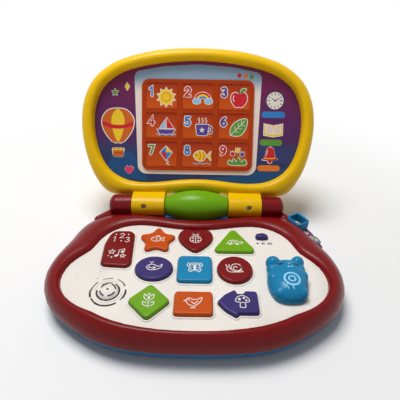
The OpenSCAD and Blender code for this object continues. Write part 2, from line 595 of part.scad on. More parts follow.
// The slider under the plate that lets the mouse go to the sides; the mouse goes along it
module mouse_carrier() color([0.85, 0.85, 0.85]) in_base() translate([mouse_at[0], mouse_at[1], 0])
    difference() {
        translate([-10, -14, 22.6]) cube([20, 28, 2.6]);
        translate([-stem_r + 0.4, -stem_r - mouse_dy + 0.4, 20])
            cube([2 * stem_r - 0.8, 2 * (stem_r + mouse_dy) - 0.8, 10]);
    }

// ---------------------------------------------------------------- picture strip and its slider
strip_z = ledge_z + 0.3;
module picture_strip() color([0.36, 0.25, 0.5]) in_base() intersection() {
    on_ledge() difference() {
        translate([0, 0, ledge_z + seat]) ledge_block(-0.3, strip_z - ledge_z - seat);
        translate([4, -slot_in - slot_w, ledge_z - 1]) cube([ledge_len, 2 * slot_w, 4]);
    }
    rim_fill(ledge_z - 1, ledge_z + 2, 2.6);
}
slider_l = 18.8;        // length of the open frame along the ledge
slider_w = 16.4;        // and across it
slider_wall = 1.9;
slider_at = 10.2;       // its middle, from the ledge's start
slider_top = 35.8;
function frame_corners(d, r) = [[slider_l / 2 + d, -slider_w / 2 - d, r],
    [slider_l / 2 + d, slider_w / 2 + d, r], [-slider_l / 2 - d, slider_w / 2 + d, r],
    [-slider_l / 2 - d, -slider_w / 2 - d, r]];
module picture_frame_slider() color([0.07, 0.47, 0.66]) in_base() on_ledge()
    translate([slider_at, 0, 0]) {
        translate([0, 0, strip_z + 0.3]) linear_extrude(slider_top - strip_z - 0.3) difference() {
            polygon(round_loop(frame_corners(0, 2.6), 6));
            polygon(round_loop(frame_corners(-slider_wall, 1.2), 6));
        }
        translate([-3, -slot_in - 0.5, ledge_z - wall - 0.8]) cube([6, 1, wall + 3]);
        translate([-3.6, -slot_in - 1.9, ledge_z - wall - 2]) cube([7.2, 4, 1.4]);
    }

// ---------------------------------------------------------------- lid
function frame_section() = [
    [0, sheet_z + 0.15], [0.05, crest_z - 4.4], [0.14, crest_z - 1.3], [0.32, crest_z],
    [0.54, crest_z - 0.5], [0.76, crest_z - 2.5], [0.92, crest_z - 6], [1, lid_seam_z],
    [0.86, lid_seam_z], [0.8, crest_z - 7.4], [0.66, crest_z - 4.6], [0.5, crest_z - 2.9],
    [0.32, crest_z - 2.4], [0.2, crest_z - 3.6], [0.15, sheet_z + 0.15]];
clamp_z = -1;           // the knuckles part at this plane
screw_seat = 5;         // where the heads of their clamp screws sit
module knuckle_bores() {
    both_ends() translate([outer_pin_x - 0.5, 0, 0]) rotate([0, 90, 0])
        cylinder(r = pin_r + pin_fit, h = 20);
    both_ends() translate([knuckle_x0 - 5, 0, 0]) rotate([0, 90, 0])
        cylinder(r = pin_r + pin_fit, h = stub_x + 0.5 - knuckle_x0 + 5);
}
module lid_frame() color([0.9, 0.72, 0.03]) in_lid() difference() {
    union() {
        ring_loft([for (s = frame_section()) between(screen_loop, lid_loop, s[0], s[1])]);
        both_ends() intersection() {
            along_x(knuckle_x0, knuckle_x1) union() {
                circle(r = knuckle_r);
                polygon([[6, -3], [9.2, 5.4], [11, 0], [12.6, -4.6], [14.6, -6.6], [17, -5.6],
                    [17, lid_seam_z + 3], [14.4, lid_seam_z + 0.05], [12, lid_seam_z + 0.05],
                    [8.6, -3]]);
            }
            translate([0, -20, lid_seam_z + 0.05]) cube([100, 40, 40]);
            union() {
                translate([0, -20, clamp_z]) cube([100, 40, 40]);
                translate([0, knuckle_r - 2.1, -30]) cube([100, 40, 60]);
            }
        }
    }
    knuckle_bores();
    both_ends() translate([screw_x, 0, 0]) {
        translate([0, 0, clamp_z - 1]) cylinder(r = 1.7, h = 30);
        translate([0, 0, screw_seat]) cylinder(r = 3, h = 30);
    }
}
module lid_back() color([0.9, 0.72, 0.03]) in_lid() difference() {
    union() {
        loft([raised(inset(lid_loop, 16), lid_back_z + wall),
            raised(inset(lid_loop, 9), lid_back_z + wall + 1),
            raised(inset(lid_loop, 4.2), lid_back_z + 6),
            raised(inset(lid_loop, 2.6), lid_seam_z - seat),
            raised(inset(lid_loop, 0.2), lid_seam_z - seat),
            raised(inset(lid_loop, 0.9), lid_back_z + 8.4),
            raised(inset(lid_loop, 3.4), lid_back_z + 3.4),
            raised(inset(lid_loop, 8), lid_back_z + 0.7),
            raised(inset(lid_loop, 15), lid_back_z)]);
        both_ends() difference() {
            along_x(knuckle_x0, knuckle_x1) difference() {
                union() {
                    circle(r = knuckle_r);
                    polygon([[-1, -10.6], [3, -12.2], [9, -16.4], [14, -20.6], [18, -21.6],
                        [18, lid_seam_z - seat], [8.6, lid_seam_z - seat], [8.6, -6]]);
                }
                translate([-20, clamp_z - 0.05]) square([40, 40]);
                translate([knuckle_r - 2.2, lid_seam_z - seat]) square([20, 40]);
            }
        }
        for (p = lid_post_at) translate([p[0], p[1], lid_back_z + 1])
            cylinder(r = 4, h = sheet_z - 1.5 - seat - lid_back_z - 1);
    }
    knuckle_bores();
    both_ends() translate([screw_x, 0, -9]) cylinder(r = 1.45, h = 30);
    for (p = lid_post_at) translate([p[0], p[1], lid_back_z - 1]) {
        cylinder(r = 3, h = 5);
        cylinder(r = 1.7, h = 60);
    }
}
lid_post_at = [[-90, 60], [90, 60], [-90, 138], [90, 138]];
module picture_sheet() color([0.36, 0.2, 0.45]) in_lid() difference() {
    translate([0, 0, sheet_z - 1.5]) linear_extrude(1.5) polygon(inset(screen_loop, -1.5));
    translate([window_at[0] - window[0] / 2 + 4, window_at[1] - window[1] / 2 + 4, sheet_z - 5])
        cube([window[0] - 8, window[1] - 8, 10]);
    for (p = lid_post_at) translate([p[0], p[1], sheet_z - 3]) cylinder(r = 1.45, h = 2.4);
}
window = [134, 108];
window_at = [-0.4, 96];
cell_dx = 43.5;
cell_dy = 34.5;
module window_panel() color([0.85, 0.36, 0.06]) in_lid() translate([window_at[0], window_at[1], 0])
    difference() {
        translate([0, 0, sheet_z + seat]) linear_extrude(1.6) polygon(round_loop(
            [[window[0] / 2, -window[1] / 2, 9], [window[0] / 2, window[1] / 2, 9],
            [-window[0] / 2, window[1] / 2, 9], [-window[0] / 2, -window[1] / 2, 9]], 8));
        for (i = [-1 : 1], j = [-1 : 1]) translate([i * cell_dx, j * cell_dy, sheet_z + 1])
            linear_extrude(5) polygon(round_loop([[18.6, -14.6, 2], [18.6, 14.6, 2],
                [-18.6, 14.6, 2], [-18.6, -14.6, 2]], 4));
    }
module light_grid() color([0.95, 0.95, 0.95]) in_lid() translate([window_at[0], window_at[1], 0])
    difference() {
        translate([-cell_dx * 1.5 + 2, -cell_dy * 1.5 + 2, lid_back_z + wall + 2.2])
            cube([3 * cell_dx - 4, 3 * cell_dy - 4, sheet_z - 1.6 - lid_back_z - wall - 2.2]);
        for (i = [-1 : 1], j = [-1 : 1]) translate([i * cell_dx - 19, j * cell_dy - 15, lid_back_z])
            cube([38, 30, 40]);
    }
module light_board() color([0.1, 0.42, 0.2]) in_lid() translate([window_at[0], window_at[1], 0])
    translate([-cell_dx * 1.5 + 2, -cell_dy * 1.5 + 2, lid_back_z + wall + 0.4])
        cube([3 * cell_dx - 4, 3 * cell_dy - 4, 1.6]);
module lamps() color([0.95, 0.9, 0.7]) in_lid() translate([window_at[0], window_at[1], 0])
    for (i = [-1 : 1], j = [-1 : 1]) translate([i * cell_dx, j * cell_dy, lid_back_z + wall + 2.05])
        cylinder(r = 2.5, h = 3.4);
module knuckle_screws() color([0.7, 0.7, 0.72]) in_lid() both_ends()
    translate([screw_x, 0, screw_seat + 2.1]) mirror([0, 0, 1]) machine_screw(2.8, 2, 1.4, 12);
module lid_screws() color([0.7, 0.7, 0.72]) in_lid() for (p = lid_post_at)
    translate([p[0], p[1], lid_back_z + 4 - 2.05]) machine_screw(2.8, 2, 1.4, 9.4);

base_bottom();
base_top();
keyboard_plate();
hinge_cover();
hinge_pins();
main_board();
key_pad_sheet();
speaker();
volume_knob();
volume_switch();
rocker();
star_key();
heart_key();
triangle_key();
oval_key();
square_key();
circle_key();
diamond_key();
rectangle_key();
arrow_key();
mouse_carrier();
mouse();
picture_frame_slider();
picture_strip();
battery_door();
battery_door_screw();
batteries();
battery_contacts();
housing_screws();
rubber_feet();
lid_frame();
lid_back();
picture_sheet();
window_panel();
light_grid();
light_board();
lamps();
knuckle_screws();
lid_screws();
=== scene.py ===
import json
import math

import bmesh
import bpy
from mathutils import Matrix, Vector
from mathutils.bvhtree import BVHTree


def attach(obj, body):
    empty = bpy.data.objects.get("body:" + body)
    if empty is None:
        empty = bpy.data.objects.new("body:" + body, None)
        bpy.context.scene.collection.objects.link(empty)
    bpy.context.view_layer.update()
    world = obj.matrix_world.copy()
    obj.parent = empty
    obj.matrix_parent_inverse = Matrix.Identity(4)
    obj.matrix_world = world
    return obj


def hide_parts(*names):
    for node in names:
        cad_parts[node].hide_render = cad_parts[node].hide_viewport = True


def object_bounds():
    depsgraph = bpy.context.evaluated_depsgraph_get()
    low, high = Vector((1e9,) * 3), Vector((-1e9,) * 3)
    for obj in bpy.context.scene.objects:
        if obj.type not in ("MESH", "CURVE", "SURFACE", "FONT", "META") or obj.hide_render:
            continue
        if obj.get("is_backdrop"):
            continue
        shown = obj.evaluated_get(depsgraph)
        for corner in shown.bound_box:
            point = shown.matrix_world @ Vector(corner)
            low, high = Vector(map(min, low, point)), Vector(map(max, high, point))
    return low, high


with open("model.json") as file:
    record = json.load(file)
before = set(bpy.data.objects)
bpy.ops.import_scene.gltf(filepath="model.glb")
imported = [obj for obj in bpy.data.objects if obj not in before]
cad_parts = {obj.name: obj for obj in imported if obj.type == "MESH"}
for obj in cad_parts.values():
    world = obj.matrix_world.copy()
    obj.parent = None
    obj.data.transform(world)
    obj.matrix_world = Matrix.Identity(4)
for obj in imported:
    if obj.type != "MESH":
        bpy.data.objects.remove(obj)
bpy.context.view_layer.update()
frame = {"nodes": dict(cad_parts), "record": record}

# ---- Camera and room ----
# The toy stands open on a plain white table top, seen from the front and above with a normal
# lens. One broad soft lamp hangs over it, and the room fills the shade.
MM = 0.001
LENS_MM, SENSOR_MM = 32.4, 36.0
CAMERA_AT_MM = (4.0, -313.1, 289.2)
CAMERA_DOWN_DEG = 35.0
CAMERA_ROLL_DEG = 0.94
LAMP_WATTS = 11.6
LAMP_SIDE = 0.55
LAMP_AT = (-0.2, 0.16, 1.15)
ROOM_WHITE = (1.0, 1.0, 1.0, 1.0)
ROOM_FILL = 0.21
TABLE_WHITE = (0.96, 0.96, 0.96, 1.0)
TABLE_SIDE = 8.0
TABLE_LIT_TO = 0.16
TABLE_WHITE_FROM = 0.5

scene = bpy.context.scene
scene.view_settings.view_transform = "Standard"


def placed(name, data):
    """An object in the scene that shows the given mesh, lamp or camera."""
    made = bpy.data.objects.new(name, data)
    scene.collection.objects.link(made)
    return made


camera_data = bpy.data.cameras.new("camera")
camera_data.lens = LENS_MM
camera_data.sensor_width = SENSOR_MM
camera = placed("camera", camera_data)
camera.matrix_world = (Matrix.Translation(Vector(CAMERA_AT_MM) * MM)
                       @ Matrix.Rotation(math.radians(90 - CAMERA_DOWN_DEG), 4, "X")
                       @ Matrix.Rotation(math.radians(CAMERA_ROLL_DEG), 4, "Z"))
scene.camera = camera

lamp_data = bpy.data.lights.new("ceiling_lamp", "AREA")
lamp_data.energy = LAMP_WATTS
lamp_data.size = LAMP_SIDE
lamp = placed("ceiling_lamp", lamp_data)
lamp.location = LAMP_AT
lamp.rotation_euler = Vector(LAMP_AT).to_track_quat("Z", "Y").to_euler()


def plug(node, sockets):
    """Sets sockets of a shader node, each to a plain value or to the output of another node."""
    for name, value in sockets.items():
        if isinstance(value, bpy.types.NodeSocket):
            node.id_data.links.new(value, node.inputs[name])
        else:
            node.inputs[name].default_value = value
    return node


# The room is an even grey to the surfaces it lights and plain white wherever it is seen
world = bpy.data.worlds.new("room")
scene.world = world
world.use_nodes = True
room = world.node_tree.nodes
room.clear()
room_fill, room_seen = [
    plug(room.new("ShaderNodeBackground"), {"Color": ROOM_WHITE, "Strength": strength})
    for strength in (ROOM_FILL, 1.0)]
room_path = room.new("ShaderNodeLightPath")
seen = room_path.outputs["Is Camera Ray"]
for other in ("Is Glossy Ray", "Is Transmission Ray"):
    either = plug(room.new("ShaderNodeMath"), {0: seen, 1: room_path.outputs[other]})
    either.operation = "MAXIMUM"
    seen = either.outputs[0]
room_mix = plug(room.new("ShaderNodeMixShader"), {
    "Fac": seen, 1: room_fill.outputs[0], 2: room_seen.outputs[0]})
plug(room.new("ShaderNodeOutputWorld"), {"Surface": room_mix.outputs[0]})

# The table top takes the toy's soft shadow and runs out into plain white
half_table = TABLE_SIDE / 2
table_mesh = bpy.data.meshes.new("table_top")
table_mesh.from_pydata([(-half_table, -half_table, 0), (half_table, -half_table, 0),
                        (half_table, half_table, 0), (-half_table, half_table, 0)],
                       [], [(0, 1, 2, 3)])
table_top = placed("table_top", table_mesh)
table_paint = bpy.data.materials.new("table_white")
table_paint.use_nodes = True
table_nodes = table_paint.node_tree.nodes
table_shader = plug(table_nodes["Principled BSDF"], {
    "Base Color": TABLE_WHITE, "Roughness": 0.9, "Specular IOR Level": 0.1})
table_place = table_nodes.new("ShaderNodeTexCoord")
table_reach = plug(table_nodes.new("ShaderNodeVectorMath"), {0: table_place.outputs["Object"]})
table_reach.operation = "LENGTH"
table_fade = plug(table_nodes.new("ShaderNodeMapRange"), {
    "Value": table_reach.outputs["Value"], "From Min": TABLE_LIT_TO,
    "From Max": TABLE_WHITE_FROM})
table_fade.interpolation_type = "SMOOTHSTEP"
table_far = table_nodes.new("ShaderNodeEmission")
table_mix = plug(table_nodes.new("ShaderNodeMixShader"), {
    "Fac": table_fade.outputs["Result"], 1: table_shader.outputs[0], 2: table_far.outputs[0]})
plug(table_nodes["Material Output"], {"Surface": table_mix.outputs[0]})
table_mesh.materials.append(table_paint)
table_top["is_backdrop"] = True

# ---- Blue bottom shell ----
# A moulded tub of glossy blue ABS, puffed like a cushion, which carries the floor, the battery
# bay, six screw posts and the saddle under the hinge cover.
BLUE_SHELL = (31, 92, 136)
EDGE_SHARP_DEG = 38.0
WELD_GAP = 2e-6
SKIN_GLOSS = 0.16
SHADE_DRIFT = ((0.3, 0.93), (0.7, 1.05))
WEAR_FROM, WEAR_TO, WEAR_ROUGHER = 0.35, 0.75, 0.1
PEEL_DEPTH = 0.0004
WIDEST_Y = -79.4
BASE = Matrix.Scale(MM, 4) @ Matrix.Translation((0.0, WIDEST_Y, 0.0))


def paint(rgb, shade=1.0):
    """The shader's colour for one written as on a paint card, 0 to 255, lighter or darker."""
    linear = [((c / 255 + 0.055) / 1.055) ** 2.4 if c > 10 else c / 255 / 12.92 for c in rgb]
    return (*[min(1.0, c * shade) for c in linear], 1.0)


def texture(tree, kind, **inputs):
    """A texture node that stays put on the piece, with its sockets set by name."""
    place = tree.nodes.new("ShaderNodeTexCoord")
    return plug(tree.nodes.new("ShaderNodeTex" + kind),
                {"Vector": place.outputs["Object"], **inputs})


def ramp(share, stops):
    """A colour that runs with a share from 0 to 1 through stops of (place, colour)."""
    node = plug(share.id_data.nodes.new("ShaderNodeValToRGB"), {"Fac": share})
    marks = node.color_ramp.elements
    while len(marks) < len(stops):
        marks.new(0.5)
    for mark, (place, colour) in zip(marks, stops):
        mark.position = place
        mark.color = colour
    return node


def moulded(name, rgb, rough=0.24, grain=0.035, coat=0.03, gloss=SKIN_GLOSS):
    """Injection-moulded plastic: a colour that drifts a little, an orange-peel skin, fine wear."""
    material = bpy.data.materials.new(name)
    material.use_nodes = True
    tree = material.node_tree
    drift = texture(tree, "Noise", Scale=14.0, Detail=3.0)
    shades = ramp(drift.outputs["Fac"],
                  [(place, paint(rgb, shade)) for place, shade in SHADE_DRIFT])
    wear = texture(tree, "Noise", Scale=90.0, Detail=5.0)
    spread = plug(tree.nodes.new("ShaderNodeMapRange"), {
        "Value": wear.outputs["Fac"], "From Min": WEAR_FROM, "From Max": WEAR_TO,
        "To Min": rough, "To Max": rough + WEAR_ROUGHER})
    peel = texture(tree, "Noise", Scale=420.0, Detail=2.0)
    bump = plug(tree.nodes.new("ShaderNodeBump"), {
        "Strength": grain, "Distance": PEEL_DEPTH, "Height": peel.outputs["Fac"]})
    plug(tree.nodes["Principled BSDF"], {
        "Base Color": shades.outputs["Color"], "Roughness": spread.outputs["Result"],
        "Normal": bump.outputs["Normal"], "Specular IOR Level": gloss, "Coat Weight": coat,
        "Coat Roughness": 0.1})
    return material


def body_of_node(node):
    """The moving body that a node belongs to."""
    return next(b for b, nodes in frame["record"]["behaviour"]["bodies"].items() if node in nodes)


def finished(name, shape, *materials):
    """Turns a mesh under construction into a smooth piece with sharp edges kept sharp."""
    bmesh.ops.recalc_face_normals(shape, faces=shape.faces)
    mesh = bpy.data.meshes.new(name)
    shape.to_mesh(mesh)
    shape.free()
    mesh.shade_smooth()
    mesh.set_sharp_from_angle(angle=math.radians(EDGE_SHARP_DEG))
    for material in materials:
        mesh.materials.append(material)
    return placed(name, mesh)


def fitted(piece, node, *replaced):
    """The piece rides with a node's body and stands for the nodes named."""
    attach(piece, body_of_node(node))
    if replaced:
        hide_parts(*replaced)
    return piece


def keep_flats(piece):
    """Lets the broad faces lead the shading, so that rounded edges run softly into them."""
    broad = piece.modifiers.new("flats_stay_flat", "WEIGHTED_NORMAL")
    broad.keep_sharp = True


def dressed(name, node, material):
    """A piece with a node's own shape, welded so that its facets shade as one skin."""
    shape = bmesh.new()
    shape.from_mesh(frame["nodes"][node].data)
    bmesh.ops.remove_doubles(shape, verts=shape.verts, dist=WELD_GAP)
    for face in shape.faces:
        face.material_index = 0
    piece = finished(name, shape, material)
    for layer in list(piece.data.attributes):
        if layer.name == "custom_normal":
            piece.data.attributes.remove(layer)
    keep_flats(piece)
    return fitted(piece, node, node)


def finish_node(node, material):
    """Gives a node that stays showing its material."""
    for slot in frame["nodes"][node].material_slots:
        slot.material = material


blue_plastic = moulded("blue_plastic", BLUE_SHELL)
dressed("blue_shell", "base_bottom", blue_plastic)

# ---- Rubber feet ----
# Four soft discs of black rubber, glued into round recesses of the floor. They keep the toy from
# sliding on a table.
FOOT_BLACK = (28, 28, 30)
finish_node("rubber_feet", moulded("foot_rubber", FOOT_BLACK, 0.7, 0.2, 0.0, 0.2))

# ---- Batteries and their contacts ----
# Two AA cells in steel jackets lie head to tail in the bay. Plated spring-steel plates, pushed
# into slots at their ends, carry the current.
CELL_BLACK = (34, 36, 40)
CELL_COPPER = (176, 104, 48)
CELL_COPPER_FROM = 0.8
CONTACT_STEEL = (186, 186, 190)


def recoloured(material, colour):
    """Puts another colour pattern in place of a material's drifting colour."""
    plug(material.node_tree.nodes["Principled BSDF"], {"Base Color": colour})
    return material


def metal(name, rgb, rough=0.32):
    """Plated or turned metal with a fine brushed roughness."""
    material = moulded(name, rgb, rough, 0.02, 0.0, 0.5)
    plug(material.node_tree.nodes["Principled BSDF"], {"Metallic": 1.0})
    return material


cell_skin = moulded("cell_skin", CELL_BLACK, 0.3)
cell_bands = texture(cell_skin.node_tree, "Wave", Scale=6.0)
cell_bands.bands_direction = "X"
cell_step = ramp(cell_bands.outputs["Fac"],
                 [(0.0, paint(CELL_BLACK)), (CELL_COPPER_FROM, paint(CELL_COPPER))])
cell_step.color_ramp.interpolation = "CONSTANT"
finish_node("batteries", recoloured(cell_skin, cell_step.outputs["Color"]))
steel = metal("plated_steel", CONTACT_STEEL)
finish_node("battery_contacts", steel)

# ---- Battery door and its screw ----
# The blue ABS door lies flush in the floor over the two cells, with fine grooves for the thumb.
# One steel screw, driven from below, holds it shut.
dressed("battery_door_skin", "battery_door", blue_plastic)
finish_node("battery_door_screw", steel)

# ---- Main board ----
# A circuit board under the keys, with copper tracks under its green lacquer. It rests on posts
# of the blue shell.
BOARD_GREEN = (26, 92, 48)
TRACK_GREEN = (60, 130, 70)
board_lacquer = moulded("board_lacquer", BOARD_GREEN, 0.35)
tracks = texture(board_lacquer.node_tree, "Brick", Scale=90.0, Color1=paint(BOARD_GREEN),
                 Color2=paint(BOARD_GREEN), Mortar=paint(TRACK_GREEN))
finish_node("main_board", recoloured(board_lacquer, tracks.outputs["Color"]))

# ---- Rubber domes ----
# One sheet of pale silicone with a dome under each of the nine keys. It lies on the main board,
# and a pressed dome closes its contacts.
DOME_GREY = (206, 208, 204)
finish_node("key_pad_sheet", moulded("dome_silicone", DOME_GREY, 0.6, 0.05, 0.0, 0.3))

# ---- Speaker ----
# A small loudspeaker, a steel basket with a dark paper cone. It is clamped face up under the
# plate's grille.
CONE_GREY = (52, 52, 56)
finish_node("speaker", moulded("cone_paper", CONE_GREY, 0.7, 0.3, 0.0, 0.2))

# ---- Sound switch ----
# The slide switch that the purple knob moves. It has a pale nylon body and sits on the main
# board.
SWITCH_GREY = (196, 196, 192)
finish_node("volume_switch", moulded("switch_nylon", SWITCH_GREY, 0.45))

# ---- Red top shell ----
# The puffed rim of the base, one glossy red moulding with the hinge's end barrels and the ledge
# for the picture strip. It sits on the blue shell and frames the keyboard plate.
RED = (121, 5, 9)
SEAM_TOP_Z = 17.3
HINGE_AT = (118.0, 34.0)
KNUCKLE_SPAN = (38.2, 76.9)
KNUCKLE_R = 12.6
LEDGE_START, LEDGE_END = (112.2, 101.9), (136.5, 60.5)
LEDGE_Z = 25.0
ledge_turn = math.atan2(LEDGE_END[1] - LEDGE_START[1], LEDGE_END[0] - LEDGE_START[0])
LEDGE = BASE @ Matrix.Translation((*LEDGE_START, 0.0)) @ Matrix.Rotation(ledge_turn, 4, "Z")
red_plastic = moulded("red_plastic", RED)
rim = dressed("red_rim", "base_top", red_plastic)

# The rim's outer shoulder runs out low where the ledge ends, and its corner there lies flat.
# Each dip begins and ends along the ledge, and begins across it, over the given stretches.
SHOULDER_DROP = 0.88
SHOULDER_DIP = ((42, 45), (50, 84), (-7, 3))
CORNER_DIP = ((43, 45), (51, 62), (-7.5, -1))


def eased(value, start, end):
    """0 up to start, 1 from end on, and a smooth run between them."""
    t = max(0.0, min(1.0, (value - start) / (end - start)))
    return t * t * (3 - 2 * t)


def depth(along, across, dip):
    """How much of a dip a place along and across the ledge takes, from 0 to 1."""
    begins, ends, reaches = dip
    return eased(along, *begins) * (1 - eased(along, *ends)) * eased(across, *reaches)


to_ledge = LEDGE.inverted()
for vert in rim.data.vertices:
    along, across, height = to_ledge @ vert.co
    lower = max(SHOULDER_DROP * depth(along, across, SHOULDER_DIP),
                depth(along, across, CORNER_DIP))
    if lower > 0 and height > LEDGE_Z:
        vert.co = LEDGE @ Vector((along, across, LEDGE_Z + (height - LEDGE_Z) * (1 - lower)))

# A low sill behind the rim follows the lid's knuckles with a small gap
SILL_GAP = 0.4
SILL_FRONT, SILL_STEP, SILL_BACK = 100.5, 108.6, 117.0
SILL_FRONT_Z, SILL_STEP_Z = 27.0, 19.5


def polar(r, degrees):
    """The point at a distance and an angle from the middle."""
    return Vector((r * math.cos(math.radians(degrees)), r * math.sin(math.radians(degrees))))


def skinned(shape, loops, place, ring=False):
    """Skins loops of (x, y, z) in mm into a mesh, and caps the ends or joins last to first."""
    rows = [[shape.verts.new(place @ Vector(p)) for p in loop] for loop in loops]
    for low, high in zip(rows, rows[1:] + rows[:1] if ring else rows[1:]):
        for i in range(len(low)):
            j = (i + 1) % len(low)
            shape.faces.new((low[i], low[j], high[j], high[i]))
    if not ring:
        shape.faces.new(rows[0])
        shape.faces.new(rows[-1])


sill_curve = [Vector(HINGE_AT) + polar(KNUCKLE_R + SILL_GAP, a) for a in range(266, 213, -4)]
sill_line = [(SILL_FRONT, SILL_FRONT_Z), (SILL_FRONT, SEAM_TOP_Z), (SILL_STEP, SEAM_TOP_Z),
             (SILL_STEP, SILL_STEP_Z), (SILL_BACK, SILL_STEP_Z)] + sill_curve
sill = bmesh.new()
for side in (-1, 1):
    skinned(sill, [[(side * x, y, z) for y, z in sill_line] for x in KNUCKLE_SPAN], BASE)
fitted(finished("rear_sill", sill, red_plastic), "base_top")

# A soft shoulder at each side carries the rim's line on from the end barrel
SHOULDER_AT, SHOULDER_R = Vector((100.0, 113.5)), 8.0
SHOULDER_FAR = ((-1, Vector((115.0, 99.0)), 6.0), (1, Vector((105.0, 107.5)), 8.0))
SHOULDER_WAIST_Z, SHOULDER_RISE = 20.0, 10.8
shoulders = bmesh.new()
for side, far, far_r in SHOULDER_FAR:
    turn = math.degrees(math.atan2(far.y - SHOULDER_AT.y, far.x - SHOULDER_AT.x))
    rows = []
    for tilt, base_z in [(0, SEAM_TOP_Z)] + [(a, SHOULDER_WAIST_Z) for a in range(0, 86, 8)]:
        shrink, rise = polar(1.0, tilt)
        outline = [at + polar(shrink * r, turn + a)
                   for at, r, start in ((far, far_r, -90), (SHOULDER_AT, SHOULDER_R, 90))
                   for a in range(start, start + 181, 12)]
        rows.append([(side * p.x, p.y, base_z + SHOULDER_RISE * rise) for p in outline])
    skinned(shoulders, rows, BASE)
fitted(finished("rear_shoulders", shoulders, red_plastic), "base_top")

# ---- Housing screws ----
# Six cross-head steel screws hold the base together. They are driven from below, through posts of
# the blue shell.
finish_node("housing_screws", steel)

# ---- Keyboard plate ----
# One off-white satin plate snapped under the rim. It has the key openings, each inside a soft
# raised border, the domed grille with its sound slots, and low chevrons around the mouse.
PLATE_WHITE = (236, 231, 223)
PLATE_Z = 30.0
PLATE_SUNK_Z = PLATE_Z - 0.3
BORDER_PROFILE = ((0.45, -0.3), (0.5, 0.5), (0.8, 0.85), (1.3, 0.95), (1.8, 0.85), (2.3, 0.5),
                  (2.5, 0.0), (2.4, -0.3))
STAR_AT, HEART_AT, TRIANGLE_AT = (-40.6, 56.6), (0.0, 58.0), (40.8, 56.6)
OVAL_AT, SQUARE_AT, CIRCLE_AT = (-40.0, 15.6), (0.0, 15.6), (39.2, 15.6)
DIAMOND_AT, RECTANGLE_AT, ARROW_AT = (-40.0, -24.4), (-0.4, -26.0), (40.0, -24.4)
STAR_R, STAR_POINT, STAR_WAIST = 15.6, 3.0, 0.5
MITRE_LIMIT = 0.6
END_CUTS = (0.7, 1.3)


def spline(knots, steps, closed=True):
    """Points on a smooth curve through the knots."""
    n = len(knots)
    points = []
    for i in range(n if closed else n - 1):
        near = [k % n if closed else max(0, min(n - 1, k)) for k in range(i - 1, i + 3)]
        a, b, c, d = (Vector(knots[k][:2]) for k in near)
        for t in (s / steps for s in range(steps)):
            points.append(0.5 * (2 * b + (c - a) * t + (2 * a - 5 * b + 4 * c - d) * t * t
                                 + (3 * b - a - 3 * c + d) * t ** 3))
    return points if closed else points + [Vector(knots[-1][:2])]


def bend(*knots, steps=5):
    """Points on a smooth open curve from the first knot to the last."""
    return spline(knots, steps, False)


def mirrored(*half):
    """A symmetric outline from its right half, whose points may carry more than x and y."""
    return [*half, *[(-p[0], *p[1:]) for p in reversed(half) if p[0]]]


def oblong(half_w, half_h, radius):
    """The corners of a rectangle about the middle, for rounded()."""
    return mirrored((half_w, -half_h, radius), (half_w, half_h, radius))


def oval(x, y, rx, ry=None, start=0, end=360, turn=0, steps=24):
    """Points on an oval, or on part of one, turned about its middle."""
    ry = rx if ry is None else ry
    count = steps if end - start == 360 else steps + 1
    points = []
    for i in range(count):
        a = math.radians(start + (end - start) * i / steps)
        p = Matrix.Rotation(math.radians(turn), 2) @ Vector((rx * math.cos(a), ry * math.sin(a)))
        points.append(p + Vector((x, y)))
    return points


def moved_out(loop, d):
    """A counter-clockwise loop with every point moved outwards by d."""
    n = len(loop)
    moved = []
    for i, p in enumerate(loop):
        along = (loop[(i + 1) % n] - loop[i - 1]).normalized()
        moved.append(p + d * Vector((along.y, -along.x)))
    return moved


def rounded(corners, d=0.0, steps=8):
    """A counter-clockwise outline with a round corner at each (x, y, radius), moved out by d."""
    n = len(corners)
    points = []
    for i, (x, y, radius) in enumerate(corners):
        p = Vector((x, y))
        to_last = (Vector(corners[i - 1][:2]) - p).normalized()
        to_next = (Vector(corners[(i + 1) % n][:2]) - p).normalized()
        turn = -to_last.x * to_next.y + to_last.y * to_next.x
        out_last, out_next = Vector((-to_last.y, to_last.x)), Vector((to_next.y, -to_next.x))
        p = p + d * (out_last + out_next) / (1 + out_last.dot(out_next))
        radius = max(0.3, radius + (d if turn > 0 else -d))
        half = math.acos(max(-1.0, min(1.0, to_last.dot(to_next)))) / 2
        middle = p + (to_last + to_next).normalized() * radius / math.sin(half)
        first = p + to_last * radius / math.tan(half) - middle
        last = p + to_next * radius / math.tan(half) - middle
        sweep = math.atan2(first.x * last.y - first.y * last.x, first.dot(last))
        points += [middle + Matrix.Rotation(sweep * s / steps, 2) @ first
                   for s in range(steps + 1)]
    return points


def level(loop, z, at=(0.0, 0.0)):
    """A flat outline laid at a height, about the given place."""
    return [(p[0] + at[0], p[1] + at[1], z) for p in loop]


STAR_LOOP = [polar(STAR_R + STAR_POINT * math.cos(math.radians(5 * (a - 90)))
                   + STAR_WAIST * math.cos(math.radians(10 * (a - 90))), a)
             for a in range(0, 360, 3)]
HEART_LOOP = spline(mirrored((0, -18.2), (8.5, -12.6), (16, -3.5), (18.6, 5.5), (15.6, 13.6),
                             (8, 16.4), (0, 15)), 10)
TRIANGLE_CORNERS = mirrored((23.5, -16.8, 4.2), (0, 21.5, 4.6))
DIAMOND_CORNERS = mirrored((0, -19.6, 4), (19.4, 0, 4), (0, 19.6, 4))
ARROW_CORNERS = [(-19.5, 0, 3), (-12.5, -8.6, 14), (-2.6, -15.6, 2), (-0.6, -12, 1),
                 (17.2, -12, 3), (17.2, 12.4, 3), (6.4, 12.4, 2), (4.4, 9.2, 1), (-0.8, 9.2, 1),
                 (-2.6, 14.2, 2), (-12.5, 8.2, 14)]
ROCKER_CORNERS = [(-63.2, 16.6, 6), (-67, 71, 7.5), (-91, 70.4, 9), (-95.6, 52, 40),
                  (-93.4, 18.6, 6)]
